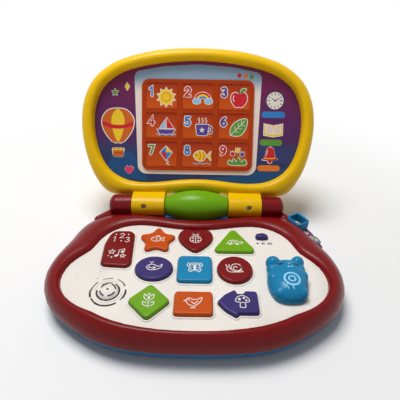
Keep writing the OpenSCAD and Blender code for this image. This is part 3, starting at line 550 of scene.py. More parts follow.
KEY_OUTLINES = {
    "star_key": (lambda d: moved_out(STAR_LOOP, d), STAR_AT),
    "heart_key": (lambda d: moved_out(HEART_LOOP, d), HEART_AT),
    "triangle_key": (lambda d: rounded(TRIANGLE_CORNERS, d, 12), TRIANGLE_AT),
    "oval_key": (lambda d: oval(0, 0, 18.4 + d, 15.4 + d, steps=96), OVAL_AT),
    "square_key": (lambda d: rounded(oblong(16.8, 16.8, 4.5), d), SQUARE_AT),
    "circle_key": (lambda d: oval(0, 0, 17.2 + d, steps=96), CIRCLE_AT),
    "diamond_key": (lambda d: rounded(DIAMOND_CORNERS, d), DIAMOND_AT),
    "rectangle_key": (lambda d: rounded(oblong(17, 12.6, 3), d), RECTANGLE_AT),
    "arrow_key": (lambda d: rounded(ARROW_CORNERS, d, 6), ARROW_AT),
    "rocker": (lambda d: rounded(ROCKER_CORNERS, d), (0.0, 0.0)),
}
plate_plastic = moulded("plate_plastic", PLATE_WHITE, 0.42, 0.08, 0.0, 0.3)
dressed("plate", "keyboard_plate", plate_plastic)
borders = bmesh.new()
for outline, at in KEY_OUTLINES.values():
    skinned(borders, [level(outline(d), PLATE_Z + z, at) for d, z in BORDER_PROFILE], BASE, True)
fitted(finished("key_borders", borders, plate_plastic), "keyboard_plate")


def slab(shape, outline, low, high, place, ink=0):
    """Adds a flat closed patch with the given outline to a mesh."""
    first = len(shape.faces)
    skinned(shape, [level(outline, low), level(outline, high)], place)
    shape.faces.ensure_lookup_table()
    for face in shape.faces[first:]:
        face.material_index = ink


def stroke(shape, line, width, low, high, place, ink=0, closed=False):
    """Adds a flat closed band along a line, with mitred turns and round ends, to a mesh."""
    points = [Vector(p[:2]) for p in line]
    n = len(points)
    cuts = []
    for i, p in enumerate(points):
        before = points[i - 1] if i or closed else None
        after = points[(i + 1) % n] if i < n - 1 or closed else None
        arriving = (p - before if before is not None else after - p).normalized()
        leaving = (after - p if after is not None else p - before).normalized()
        along = arriving + leaving
        along = along.normalized() if along.length > 1e-3 else leaving
        reach = width / 2 / max(MITRE_LIMIT, along.dot(leaving))
        cuts.append((p, Vector((-along.y, along.x)) * reach, along))
    if not closed:
        for end, way in ((0, -1), (-1, 1)):
            p, side, along = cuts[end]
            caps = [(p + along * way * width / 2 * math.sin(a), side * math.cos(a), along)
                    for a in END_CUTS]
            cuts = list(reversed(caps)) + cuts if way < 0 else cuts + caps
    rows = [[shape.verts.new(place @ Vector((q.x, q.y, z)))
             for q, z in ((p + side, low), (p - side, low), (p - side, high), (p + side, high))]
            for p, side, _ in cuts]
    faces = []
    for a, b in zip(rows, rows[1:] + rows[:1] if closed else rows[1:]):
        faces += [shape.faces.new((a[k], a[(k + 1) % 4], b[(k + 1) % 4], b[k])) for k in range(4)]
    if not closed:
        faces += [shape.faces.new(rows[0]), shape.faces.new(rows[-1])]
    for face in faces:
        face.material_index = ink


# The low relief on the plate: a note above the grille, small rings in the free corners and two
# rings on the grille itself
GRILLE_AT = (-79.0, -12.0)
DOME_Z = PLATE_Z + 1.0
NOTE_STEM = [(-92, 5), (-92, 15), (-86, 17), (-86, 7)]
NOTE_BEAM = [(-92, 12.4), (-86, 14.4)]
NOTE_HEADS = ((-93.6, 4.6), (-87.6, 6.6))
NOTE_WIDTH, RING_WIDTH = 0.8, 0.5
GRILLE_RINGS = ((4.2, 0.7, DOME_Z, PLATE_Z + 3.1), (12.9, 0.8, PLATE_SUNK_Z, PLATE_Z + 0.5))
RELIEF_RINGS = ((-112, 6, 3.2), (68, -38, 3.4), (-34, -50, 2.6), (22, -5, 2.0), (-60, -2, 2.0),
                (64, 38, 2.4), (104, 34, 3.0), (-70, 79, 2.0))
relief = bmesh.new()
for line in (NOTE_STEM, NOTE_BEAM):
    stroke(relief, line, NOTE_WIDTH, PLATE_SUNK_Z, PLATE_Z + 0.3, BASE)
for x, y in NOTE_HEADS:
    slab(relief, oval(x, y, 1.9, 1.4, turn=20), PLATE_SUNK_Z, PLATE_Z + 0.35, BASE)
for x, y, r in RELIEF_RINGS:
    stroke(relief, oval(x, y, r), RING_WIDTH, PLATE_SUNK_Z, PLATE_Z + 0.18, BASE, closed=True)
for r, width, low, high in GRILLE_RINGS:
    stroke(relief, oval(*GRILLE_AT, r), width, low, high, BASE, closed=True)
fitted(finished("plate_relief", relief, plate_plastic), "keyboard_plate")

# Painted shade: dark strokes laid over the grille's slits, on the dome and around it, stand for
# the shade inside them, and a dark dot sits at the dome's middle. Three small ink marks under the
# sound knob are print.
INK_AND_SHADE_DARK = (40, 38, 44)
SLIT_SHADE_ARCS = ((10.3, 178, 254), (10.3, 266, 386), (16.3, 236, 304), (16.3, 334, 360),
             (16.3, 178, 204))
SLIT_SHADE_WIDTH = 1.7
DOME_SHADE_STROKE_R, DOME_SHADE_STROKE_WIDTH, DOME_SHADE_STROKE_Z = 6.9, 1.3, PLATE_Z + 2.35
MARK_Y, MARK_DOT_X, MARK_WIDTH = 56.8, 66.6, 0.6
MARK_HORNS = ((72.6, 1), (79.2, 2))
MARK_TOP_Z = PLATE_Z + 0.06


def ink(name, rgb, rough=0.42):
    """Pad-printed ink, slightly uneven, drier than the plastic under it."""
    return moulded(name, rgb, rough, 0.05, 0.0, 0.25)


dark_ink_and_slit_shade = ink("dark_ink_and_slit_shade", INK_AND_SHADE_DARK)
marks = bmesh.new()
# Painted shade in the dome's slits and in the slits around the dome
for a in (0, 90, 180, 270):
    stroke(marks, oval(*GRILLE_AT, DOME_SHADE_STROKE_R, start=a + 14, end=a + 66, steps=6),
           DOME_SHADE_STROKE_WIDTH, DOME_Z, DOME_SHADE_STROKE_Z, BASE)
for r, start, end in SLIT_SHADE_ARCS:
    stroke(marks, oval(*GRILLE_AT, r, start=start, end=end, steps=14), SLIT_SHADE_WIDTH,
           PLATE_SUNK_Z, PLATE_Z + 0.05, BASE)
slab(marks, oval(*GRILLE_AT, 1.1), DOME_Z, PLATE_Z + 3.25, BASE)
slab(marks, oval(MARK_DOT_X, MARK_Y, 1.1, 1.3), PLATE_SUNK_Z, MARK_TOP_Z, BASE)
for x, waves in MARK_HORNS:
    slab(marks, [(x - 1.9, 56.0), (x - 0.9, 56.0), (x + 0.5, 54.9), (x + 0.5, 58.7),
                 (x - 0.9, 57.6), (x - 1.9, 57.6)], PLATE_SUNK_Z, MARK_TOP_Z, BASE)
    for k in range(waves):
        stroke(marks, oval(x, MARK_Y, 1.7 + 1.1 * k, start=-42, end=42, steps=5), MARK_WIDTH,
               PLATE_SUNK_Z, MARK_TOP_Z, BASE)
fitted(finished("plate_marks_and_slit_shade", marks, dark_ink_and_slit_shade), "keyboard_plate")

# ---- Star key ----
# An orange ABS cap with rounded edges. It drops through its opening onto a rubber dome, and its
# top carries a white pad-printed fish.
KEY_TOP_Z = 34.4
KEY_FOOT_Z = 27.6
KEY_EDGE_R = 1.9
TOP_INSET, TOP_DISH = 0.5, 0.02
ICON_WIDTH = 0.75
ICON_SINK = 0.1
LINE_PROUD, SPOT_PROUD = 0.04, 0.05
ORANGE = (198, 78, 3)
INK_WHITE = (238, 234, 228)
white_ink = ink("white_ink", INK_WHITE)


def quarter_round(edge, top):
    """A rounded upper edge, from the side up to the top, as (distance out, height)."""
    return [(edge * (math.cos(math.radians(a)) - 1), top - edge + edge * math.sin(math.radians(a)))
            for a in range(0, 91, 15)]


def capped(node, material, top=KEY_TOP_Z, foot=KEY_FOOT_Z, edge=KEY_EDGE_R):
    """A key cap: straight sides, a quarter-round edge and a faintly dished flat top."""
    outline, at = KEY_OUTLINES[node]
    profile = [(0.0, foot), *quarter_round(edge, top), (-edge - TOP_INSET, top - TOP_DISH)]
    shape = bmesh.new()
    skinned(shape, [level(outline(d), z, at) for d, z in profile], BASE)
    return fitted(finished(node + "_cap", shape, material), node, node)


def key_icon(node, lines=(), rings=(), spots=(), at=None, top=KEY_TOP_Z):
    """Open lines, closed lines and filled spots printed in white about the middle of a key."""
    at = at or KEY_OUTLINES[node][1]
    place = BASE @ Matrix.Translation((at[0], at[1], top))
    shape = bmesh.new()
    for line in lines:
        stroke(shape, line, ICON_WIDTH, -ICON_SINK, LINE_PROUD, place)
    for ring in rings:
        stroke(shape, ring, ICON_WIDTH, -ICON_SINK, LINE_PROUD, place, closed=True)
    for spot in spots:
        slab(shape, spot, -ICON_SINK, SPOT_PROUD, place)
    return fitted(finished(node + "_print", shape, white_ink), node)


orange_plastic = moulded("orange_plastic", ORANGE)
capped("star_key", orange_plastic)
key_icon("star_key",
         [[(3.8, 1.2), (7.2, 3.4), (6.4, 0), (7.2, -3.4), (3.8, -1.2)],
          bend((-1.4, 2.6), (-0.6, 0), (-1.4, -2.6), steps=6),
          bend((-2.4, 3.6), (-0.6, 5.4), (1.8, 4.8), (2.0, 3.0)),
          oval(1.8, 0, 1.2, 1.6, start=-70, end=70, steps=6)],
         [oval(-1.2, 0, 5.4, 3.7)], [oval(-3.9, 0.9, 0.7)])

# ---- Heart key ----
# A red ABS cap over its own dome, in a heart-shaped opening. A white ladybird is pad-printed on
# its top.
capped("heart_key", red_plastic)
key_icon("heart_key",
         [[(0, 3.6), (0, -6.0)], oval(0, 3.6, 3.0, 2.6, start=0, end=180, steps=10)]
         + [bend((side * 1.4, 5.8), (side * 2.0, 7.2), (side * 3.4, 7.8)) for side in (-1, 1)],
         [oval(0, -1.0, 6.0, 5.2)], [oval(x, y, 1.0) for x in (-2.9, 2.9) for y in (0.8, -3.2)])

# ---- Triangle key ----
# A lime-green ABS cap over its own dome, in a triangular opening. The white turtle is pad-printed
# low on it, where the triangle is wide.
GREEN = (110, 166, 16)
green_plastic = moulded("green_plastic", GREEN)
capped("triangle_key", green_plastic)
key_icon("triangle_key",
         [oval(-0.6, -1.2, 6.2, 5.2, start=0, end=180, steps=16), [(-6.8, -1.2), (5.6, -1.2)],
          [(-3.8, -1.2), (-2.2, 2.0), (1.0, 2.0), (2.6, -1.2)], [(-2.2, 2.0), (-3.4, 3.0)],
          [(1.0, 2.0), (2.2, 3.0)], [(-6.8, -1.2), (-8.4, -2.0)]],
         [oval(7.4, 0.2, 1.9, 1.6)],
         [oval(-4.2, -2.4, 1.5, 1.1), oval(3.2, -2.4, 1.5, 1.1), oval(7.9, 0.5, 0.5)],
         (TRIANGLE_AT[0], TRIANGLE_AT[1] - 4.0))

# ---- Oval key ----
# A purple ABS cap over its own dome, in an oval opening. A white whale is pad-printed on its
# top.
PURPLE = (57, 46, 110)
purple_plastic = moulded("purple_plastic", PURPLE)
capped("oval_key", purple_plastic)
key_icon("oval_key",
         [bend((-6.4, -2.0), (-2.5, -1.2), (1.4, -3.0), steps=6),
          bend((-2.6, 4.2), (-2.6, 5.8), (-4.4, 6.6)), bend((-2.6, 5.6), (-2.0, 6.6), (-0.8, 6.6))],
         [spline([(-7, -0.6), (-4.6, 2.8), (0, 3.2), (3.6, 0.8), (6.0, 1.8), (7.8, 3.8),
                  (7.6, 0.6), (5.4, -2.0), (1, -3.8), (-4.4, -3.6)], 5)],
         [oval(-4.4, 0.6, 0.7), oval(0.6, -0.6, 1.4, 0.8, turn=-20)])

# ---- Square key ----
# A light-blue ABS cap over its own dome, in a square opening. A white butterfly is pad-printed on
# its top.
KEY_BLUE = (15, 131, 178)
FORE_WING = ((0.8, 0.6), (2.8, 5.0), (6.4, 5.8), (7.4, 2.6), (4.6, 0.4))
HIND_WING = ((0.8, -0.4), (4.4, -0.4), (6.0, -3.0), (4.2, -5.6), (1.6, -3.6))
capped("square_key", moulded("key_blue_plastic", KEY_BLUE))
key_icon("square_key",
         [bend((0, 3.2), (side * 0.8, 5.4), (side * 2.0, 6.6)) for side in (-1, 1)],
         [spline([(side * x, y) for x, y in wing], 5) for side in (-1, 1)
          for wing in (FORE_WING, HIND_WING)],
         [oval(0, -0.6, 0.8, 4.2)] + [oval(side * x, y, r) for side in (-1, 1)
                                      for x, y, r in ((4.6, 3.2, 1.1), (3.6, -2.9, 0.8))])

# ---- Circle key ----
# A red ABS cap over its own dome, in a round opening. A white snail is pad-printed on its top,
# with its shell wound out from the middle.
SNAIL_SHELL = Vector((1.2, 0.6))
capped("circle_key", red_plastic)
key_icon("circle_key",
         [[SNAIL_SHELL + polar(0.5 + 0.0125 * a, a) for a in range(0, 396, 15)],
          bend((5.4, -3.2), (7.4, -4.6), (0, -5.2), (-5.6, -4.8), (-8.0, -1.6), (-7.4, 1.4),
               (-5.4, 0.6), (-4.6, -1.6)),
          [(-7.4, 1.4), (-8.6, 3.8)], [(-6.0, 1.2), (-5.6, 3.8)]],
         [oval(*SNAIL_SHELL, 5.2)], [oval(-8.6, 4.0, 0.7), oval(-5.6, 4.0, 0.7)])

# ---- Diamond key ----
# A lime-green ABS cap over its own dome, in an opening that stands on its corner. A white tulip
# is pad-printed on its top.
capped("diamond_key", green_plastic)
key_icon("diamond_key",
         [[(0, -0.6), (0, -8.0)]]
         + [bend((0, -7.4), (side * 4.4, -5.0), (side * 4.8, -1.8), (side * 2.0, -3.2))
            for side in (-1, 1)],
         [spline(mirrored((0, -0.6), (4.2, 2.2), (4.0, 6.4), (1.9, 4.2), (0, 7.4)), 4)],
         [oval(0, 2.4, 1.2, 1.5)])

# ---- Rectangle key ----
# An orange ABS cap over its own dome, in a rectangular opening. A white bird is pad-printed on
# its top.
capped("rectangle_key", orange_plastic)
key_icon("rectangle_key",
         [[(-6.3, 2.4), (-8.4, 1.2), (-6.3, 0.4)],
          bend((-1.8, 0.6), (0.8, -1.8), (4.0, 1.0), steps=6),
          [(-0.8, -3.8), (-0.8, -6.2), (-2.2, -6.6)], [(1.4, -3.8), (1.4, -6.2), (0.0, -6.6)]],
         [spline([(-6.2, 1.4), (-4.2, 4.4), (-1.0, 3.0), (3.0, 2.8), (7.6, 5.0), (5.6, -0.6),
                  (0.6, -4.0), (-4.6, -2.4)], 5)],
         [oval(-4.0, 2.2, 0.7)])

# ---- Arrow key ----
# A purple ABS cap over its own dome, in an opening shaped like a broad arrow. A white mushroom is
# pad-printed on its shaft.
capped("arrow_key", purple_plastic)
key_icon("arrow_key",
         [bend((-2.0, -0.8), (-2.4, -4.0), (-2.0, -6.2), (2.0, -6.2), (2.4, -4.0), (2.0, -0.8),
               steps=4)],
         [spline(mirrored((0, -0.8), (6.0, 0.2), (4.6, 4.6), (0, 6.8)), 5)],
         [oval(-2.6, 2.6, 1.3), oval(1.4, 4.0, 1.1), oval(3.4, 1.6, 0.9)],
         (ARROW_AT[0] + 3.0, ARROW_AT[1] - 0.4))

# ---- Rocker ----
# The long two-way rocker of red ABS at the left turns on a moulded pin under the plate. The
# figures 1 2 3 are printed on its rear half, and a note and two stars on its front half.
ROCKER_TOP_Z, ROCKER_FOOT_Z, ROCKER_EDGE_R = 33.8, 28.4, 2.3
ROCKER_MID = (-79.5, 43.5)
ROCKER_FIGURE = 7.6
DIGITS = {
    "1": [[(-0.16, 0.3), (0.08, 0.5), (0.08, -0.5)]],
    "2": [bend((-0.3, 0.24), (-0.06, 0.5), (0.27, 0.26), (0.1, -0.1), (-0.3, -0.48))
          + [(0.3, -0.48)]],
    "3": [bend((-0.26, 0.38), (0.04, 0.5), (0.24, 0.26), (-0.04, 0.03))
          + bend((-0.04, 0.03), (0.28, -0.2), (0.04, -0.5), (-0.28, -0.36))[1:]],
    "4": [[(0.12, -0.5), (0.12, 0.5), (-0.3, -0.18), (0.32, -0.18)]],
    "5": [[(0.26, 0.48), (-0.2, 0.48), (-0.24, 0.06)]
          + bend((-0.24, 0.06), (0.08, 0.14), (0.28, -0.16), (0.04, -0.5), (-0.28, -0.38))[1:]],
    "6": [bend((0.2, 0.48), (-0.16, 0.24), (-0.28, -0.2), (0, -0.5), (0.28, -0.2), (0.02, 0.06),
               (-0.22, -0.08))],
    "7": [[(-0.28, 0.48), (0.28, 0.48), (-0.08, -0.5)]],
    "8": [oval(0, 0.25, 0.2, 0.22), oval(0, -0.23, 0.26, 0.26)],
    "9": [bend((-0.2, -0.48), (0.16, -0.24), (0.28, 0.2), (0, 0.5), (-0.28, 0.2), (-0.02, -0.06),
               (0.22, 0.08))],
}


def digit(which, x, y, height):
    """The lines of one figure about a point. Those of the 8 are closed, all others open."""
    return [[(x + p[0] * height, y + p[1] * height) for p in line] for line in DIGITS[which]]


def star_points(x, y, outer, inner, points=5):
    """The outline of a star, counter-clockwise from its top point."""
    return [Vector((x, y)) + polar(inner if k % 2 else outer, 90 + 180 * k / points)
            for k in range(2 * points)]


capped("rocker", red_plastic, ROCKER_TOP_Z, ROCKER_FOOT_Z, ROCKER_EDGE_R)
key_icon("rocker",
         digit("1", -7.0, 12.6, ROCKER_FIGURE) + digit("2", 0.4, 18.2, ROCKER_FIGURE)
         + digit("3", 7.0, 12.0, ROCKER_FIGURE)
         + [[(1.4, -12.4), (1.4, -4.2), (6.8, -2.6), (6.8, -6.4)]],
         [star_points(-5.6, -7.0, 3.6, 1.6), star_points(6.4, -12.6, 3.0, 1.3)],
         [oval(x, y, r) for x, y, r in ((-6.4, 20.0, 0.8), (6.8, 20.2, 0.8), (0.6, 9.8, 0.8),
                                        (-4.4, -14.8, 0.9), (-8.0, -13.0, 0.6))]
         + [oval(x, y, 1.9, 1.4, turn=20) for x, y in ((-0.2, -12.6), (5.2, -6.8))],
         ROCKER_MID, ROCKER_TOP_Z)

# ---- Sound knob ----
# A small cloud-shaped knob of purple ABS, domed on top. It slides over its slot in the plate and
# moves the sound switch under it.
KNOB_AT = (72.0, 65.4)
KNOB_CORNERS = [(-7, -2.8, 2.6), (0, -4, 4), (7, -2.6, 2.6), (6.8, 2.8, 2.6), (1.5, 4.2, 3.2),
                (-3, 3.4, 3.2), (-7, 2.8, 2.6)]
KNOB_TOP_Z, KNOB_FOOT_Z, KNOB_EDGE = 35.4, 30.3, 2.4
KNOB_CREST_X, KNOB_FALL = -1.4, 0.026
knob = bmesh.new()
knob_loops = [level(rounded(KNOB_CORNERS), KNOB_FOOT_Z)]
for d, top_z in quarter_round(KNOB_EDGE, KNOB_TOP_Z):
    knob_loops.append([(x, y, z - KNOB_FALL * (x - KNOB_CREST_X) ** 2)
                       for x, y, z in level(rounded(KNOB_CORNERS, d), top_z)])
skinned(knob, knob_loops, BASE @ Matrix.Translation((*KNOB_AT, 0.0)))
fitted(finished("sound_knob", knob, purple_plastic), "volume_knob", "volume_knob")

# ---- Picture strip ----
# A printed film label, glued onto the ledge at the right rear. It shows flowers on purple and
# teal, which are seen through the sliding frame.
STRIP_Z = 25.3
STRIP_SUNK_Z = STRIP_Z - 0.2
STRIP_PURPLE = (98, 70, 128)
STRIP_TEAL = (96, 128, 140)
FLOWER_ORANGE = (226, 128, 60)
FLOWER_CREAM = (236, 206, 172)
TEAL_INK, ORANGE_INK, CREAM_INK = range(3)
TEAL_PATCH = [(29.4, -3.4), (33, -4.6), (37.4, -3.0), (43, 0.6), (45, 3.6), (40, 5.6), (35, 6.0),
              (31.6, 3.4)]
FLOWERS = ((9.0, -0.6, 4.4), (24.8, -1.0, 4.2), (33.4, -0.6, 3.2), (38.6, 2.4, 2.4))
PETALS, PETAL_DEPTH, HEART_SHARE = 5, 0.24, 0.42
dressed("picture_label", "picture_strip", ink("strip_purple", STRIP_PURPLE))
strip = bmesh.new()
slab(strip, spline(TEAL_PATCH, 5), STRIP_SUNK_Z, STRIP_Z + 0.03, LEDGE, TEAL_INK)
for x, y, r in FLOWERS:
    petals = [Vector((x, y)) + polar(
        r * (1 - PETAL_DEPTH + PETAL_DEPTH * math.cos(math.radians(PETALS * a))), a)
              for a in range(0, 360, 10)]
    slab(strip, petals, STRIP_SUNK_Z, STRIP_Z + 0.07, LEDGE, CREAM_INK)
    slab(strip, oval(x, y, r * HEART_SHARE), STRIP_SUNK_Z, STRIP_Z + 0.11, LEDGE, ORANGE_INK)
fitted(finished("picture_label_print", strip, ink("strip_teal", STRIP_TEAL),
                ink("flower_orange", FLOWER_ORANGE), ink("flower_cream", FLOWER_CREAM)),
       "picture_strip")

# ---- Sliding picture frame ----
# An open box of light-blue ABS with soft edges, whose foot runs in the ledge's slot. The child
# slides it along the strip and looks down through it.
SLIDER_AT, SLIDER_L, SLIDER_W = 10.0, 20.2, 17.6
SLIDER_WALL, SLIDER_CORNER_R = 2.2, 3.4
SLIDER_LOW_Z, SLIDER_TOP_Z = 25.5, 36.6
SLIDER_PROFILE = ((0.0, SLIDER_LOW_Z), (0.0, SLIDER_TOP_Z - 0.7), (-0.25, SLIDER_TOP_Z - 0.2),
                  (-0.7, SLIDER_TOP_Z), (-1.2, SLIDER_TOP_Z), (-1.65, SLIDER_TOP_Z - 0.2),
                  (-SLIDER_WALL, SLIDER_TOP_Z - 0.7), (-SLIDER_WALL, SLIDER_LOW_Z))
SLIDER_STEM = ((7.2, -7.7), (13.2, -7.7), (13.2, -6.7), (7.2, -6.7))
SLIDER_STEM_Z = (22.2, 25.9)
SLIDER_FOOT = ((6.6, -9.1), (13.8, -9.1), (13.8, -5.1), (6.6, -5.1))
SLIDER_FOOT_Z = (20.9, 22.25)
MOUSE_BLUE = (16, 126, 172)
mouse_blue_plastic = moulded("mouse_blue_plastic", MOUSE_BLUE)
slider = bmesh.new()
skinned(slider, [level(rounded(oblong(SLIDER_L / 2 + d, SLIDER_W / 2 + d, SLIDER_CORNER_R + d)), z)
                 for d, z in SLIDER_PROFILE],
        LEDGE @ Matrix.Translation((SLIDER_AT, 0.0, 0.0)), True)
slab(slider, SLIDER_STEM, *SLIDER_STEM_Z, LEDGE)
slab(slider, SLIDER_FOOT, *SLIDER_FOOT_Z, LEDGE)
fitted(finished("picture_frame", slider, mouse_blue_plastic), "picture_frame_slider",
       "picture_frame_slider")

# ---- Mouse carrier ----
# A nylon slide under the plate that lets the mouse go left and right, while the mouse itself
# goes to and fro along it.
finish_node("mouse_carrier", moulded("carrier_nylon", SWITCH_GREY, 0.45))

# ---- Mouse ----
# A plump light-blue toy mouse, moulded with its round ears and paws. Rings, closed eyes and
# strokes are pad-printed on the curved skin.
MOUSE_AT = (87.4, 0.6)
MOUSE_LOW_Z, ABOVE_MOUSE_Z = 30.5, 60.0
MOUSE_KNOTS = [(0.4, -25.3), (8.8, -24.2), (13.2, -20.8), (16.0, -14.8), (18.2, -8),
               (19.5, -0.6), (19.4, 6.4), (18.0, 13.0), (14.6, 19.6), (8.6, 24.0), (0.8, 25.2),
               (-7.0, 23.4), (-13.0, 18.6), (-16.8, 11.8), (-18.5, 4.6), (-19.1, -2),
               (-18.7, -9.0), (-17.0, -15.6), (-13.8, -21.0), (-8.2, -24.4)]
MOUSE_PROFILE = [(0.9, 0.0), (0.0, 1.0), (0.0, 3.2), (0.6, 5.4), (1.7, 7.6), (3.4, 9.8),
                 (5.6, 11.6), (8.2, 13.0), (11.2, 13.9), (14.4, 14.4)]
MOUSE_LUMPS = [(-11.3, 18.6, 38.2, 7.2, 6.9, 7.6), (12.6, 19.6, 38.2, 6.5, 6.4, 7.0),
               (-12.8, 11.8, 36.2, 5.4, 6.4, 5.6), (13.6, 12.4, 36.2, 5.2, 6.0, 5.6),
               (-13.9, 1.4, 37.4, 5.0, 6.6, 5.0), (14.4, 2.8, 37.4, 5.0, 6.6, 5.0),
               (-10.4, -16.2, 36.4, 5.6, 6.2, 5.4), (9.8, -16.6, 36.4, 5.2, 6.0, 5.4)]
MOUSE_GRAIN_MM = 0.7
SOFTENED_BY, SOFTENED_TIMES = 0.6, 9
MOUSE_PRINT = (150, 208, 238)
PRINT_PROUD_MM, PRINT_SUNK_MM = 0.06, 0.3
EYE_WIDTH = 2.2
RINGS_AT, RINGS = (1.4, -6.8), ((6.9, 1.9), (3.0, 1.5))
BRUSH_LEAN, BRUSH_STEPS, BRUSH_WIDTH = Vector((0.32, -0.96)), 8, 0.9
BRUSH_MARKS = ((-7.5, -10.6, 5.6), (-4.9, -12.8, 4.6), (0.6, -15.0, 2.6))
FLAT = Matrix.Identity(4)


def settled(piece):
    """Turns what a piece's modifiers make of it into its own mesh, and gives that mesh."""
    bpy.context.view_layer.update()
    mesh = bpy.data.meshes.new_from_object(
        piece.evaluated_get(bpy.context.evaluated_depsgraph_get()))
    piece.modifiers.clear()
    piece.data = mesh
    return mesh


mouse_body = bmesh.new()
mouse_loop = spline(MOUSE_KNOTS, 5)
skinned(mouse_body, [level(moved_out(mouse_loop, -d), MOUSE_LOW_Z + z, MOUSE_AT)
                     for d, z in MOUSE_PROFILE], BASE)
for x, y, z, rx, ry, rz in MOUSE_LUMPS:
    where = (BASE @ Matrix.Translation((MOUSE_AT[0] + x, MOUSE_AT[1] + y, z))
             @ Matrix.Diagonal((rx, ry, rz, 1.0)))
    bmesh.ops.create_uvsphere(mouse_body, u_segments=32, v_segments=20, radius=1.0, matrix=where)
mouse_skin = finished("mouse_body", mouse_body, mouse_blue_plastic)
fuse = mouse_skin.modifiers.new("one_skin", "REMESH")
fuse.mode = "VOXEL"
fuse.voxel_size = MOUSE_GRAIN_MM * MM
fuse.use_smooth_shade = True
soften = mouse_skin.modifiers.new("soft_joins", "SMOOTH")
soften.factor = SOFTENED_BY
soften.iterations = SOFTENED_TIMES
mouse_mesh = settled(mouse_skin)
mouse_mesh.materials.clear()
mouse_mesh.materials.append(mouse_blue_plastic)
mouse_mesh.shade_smooth()
fitted(mouse_skin, "mouse", "mouse")
mouse_surface = BVHTree.FromPolygons([v.co for v in mouse_mesh.vertices],
                                     [p.vertices for p in mouse_mesh.polygons])


def mouse_print(name, material, bands, spots=()):
    """Prints bands of (line, width, closed) and spots on the mouse's back, drawn from above."""
    shape = bmesh.new()
    for line, width, closed in bands:
        stroke(shape, line, width, -1.0, 1.0, FLAT, closed=closed)
    for spot in spots:
        slab(shape, spot, -1.0, 1.0, FLAT)
    for vert in shape.verts:
        lift = PRINT_PROUD_MM if vert.co.z > 0 else -PRINT_SUNK_MM
        above = BASE @ Vector((MOUSE_AT[0] + vert.co.x, MOUSE_AT[1] + vert.co.y, ABOVE_MOUSE_Z))
        where, outwards, *_ = mouse_surface.ray_cast(above, Vector((0.0, 0.0, -1.0)))
        vert.co = where + outwards * lift * MM
    return fitted(finished(name, shape, material), "mouse")


mouse_print("mouse_eyes", dark_ink_and_slit_shade,
            [(bend((-8.0, 13.0), (-6.4, 11.9), (-4.2, 12.9), steps=6), EYE_WIDTH, False),
             (bend((7.4, 12.7), (9.3, 11.4), (11.3, 12.0), steps=6), EYE_WIDTH, False)])
mouse_print("mouse_ring_print", ink("pale_ink", MOUSE_PRINT),
            [(oval(*RINGS_AT, r, steps=40), width, True) for r, width in RINGS]
            + [([Vector((x, y)) + BRUSH_LEAN * length * k / BRUSH_STEPS
                 for k in range(BRUSH_STEPS + 1)], BRUSH_WIDTH, False)
               for x, y, length in BRUSH_MARKS],
            [oval(x, y, 1.0, 0.8) for x, y in ((2.0, 12.6), (1.2, 8.4), (4.0, 8.2))])

# ---- Hinge cover ----
# The fat lime-green barrel in the middle of the hinge, snapped into the blue saddle. Its stubs
# carry the inner ends of the lid's knuckles.
COVER_HALF, COVER_R, COVER_END_R = 37.5, 19.2, 10.4
COVER_FULLNESS = 0.8
COVER_STEPS = 24
BULGE_SHARE = 0.99
COVER_LIP_R = (COVER_END_R - 1.2, COVER_END_R - 0.3)
COVER_GREEN = (109, 167, 8)
AXLE = BASE @ Matrix.Translation((0.0, *HINGE_AT)) @ Matrix.Rotation(math.radians(90), 4, "Y")


def cover_bulge(share):
    """How far the barrel stands out over its end, at a share of the way from middle to end."""
    rise = math.cos(math.radians(90 * share)) if share < 1 else 0.0
    return (COVER_R - COVER_END_R) * rise ** COVER_FULLNESS


def turned(shape, profile, place, steps=72):
    """Spins a profile of (radius, distance) about the hinge axis."""
    skinned(shape, [[(*polar(r, 360 * k / steps), x) for k in range(steps)] for r, x in profile],
            place)


cover = bmesh.new()
turned(cover, [(r, -COVER_HALF) for r in COVER_LIP_R]
       + [(COVER_END_R + cover_bulge(abs(i) / COVER_STEPS),
           COVER_HALF * BULGE_SHARE * i / COVER_STEPS)
          for i in range(-COVER_STEPS, COVER_STEPS + 1)]
       + [(r, COVER_HALF) for r in reversed(COVER_LIP_R)], AXLE)
fitted(finished("green_cover", cover, moulded("cover_green", COVER_GREEN)), "hinge_cover",
       "hinge_cover")

# ---- Hinge pins ----
# Two short steel pins, pressed into the red end barrels. The outer ends of the lid's knuckles
# turn on them.
finish_node("hinge_pins", steel)

# ---- Lid back ----
# The smooth outer shell of the lid, a shallow dish of yellow ABS with the rear halves of the
# knuckles. Screws from behind hold it to the ring.
YELLOW = (238, 190, 1)
yellow_plastic = moulded("yellow_plastic", YELLOW, 0.22)
dressed("lid_outer_shell", "lid_back", yellow_plastic)

# ---- Lid frame ----
# The puffed ring of yellow ABS around the picture, with the front halves of the knuckles. It is
# screwed to the back, and the two clamp the picture between them.
LID_AT = (0.0, 38.6, 34.0)
LID_RISE_DEG = 62.0
LID = (Matrix.Scale(MM, 4) @ Matrix.Translation(LID_AT)
       @ Matrix.Rotation(math.radians(LID_RISE_DEG), 4, "X"))
KNUCKLE_BORE_R = 9.6
KNUCKLE_EDGE = 0.5
RING_BACK_Z = -6.6
KNUCKLE_ENDS = ((0.0, 0.5), (0.15, 0.2), (KNUCKLE_EDGE, 0.0))
CLAMP_SCREW_X = 62.0
SCREW_RECESS = ((3.0, 5.0), (3.0, 11.7), (4.4, 13.4))
dressed("lid_ring", "lid_frame", yellow_plastic)


def knuckle_line(r):
    """The knuckle's section: down from the ring, round the axle, and back along the inside."""
    return [(18.0, RING_BACK_Z),
            *bend((16.4, -4.8), (14.6, -2.2), (13.0, 1.4), polar(r, 26), steps=3),
            *[polar(r, a) for a in range(32, 267, 6)],
            *[polar(KNUCKLE_BORE_R, a) for a in range(264, 35, -12)], (12.6, RING_BACK_Z)]


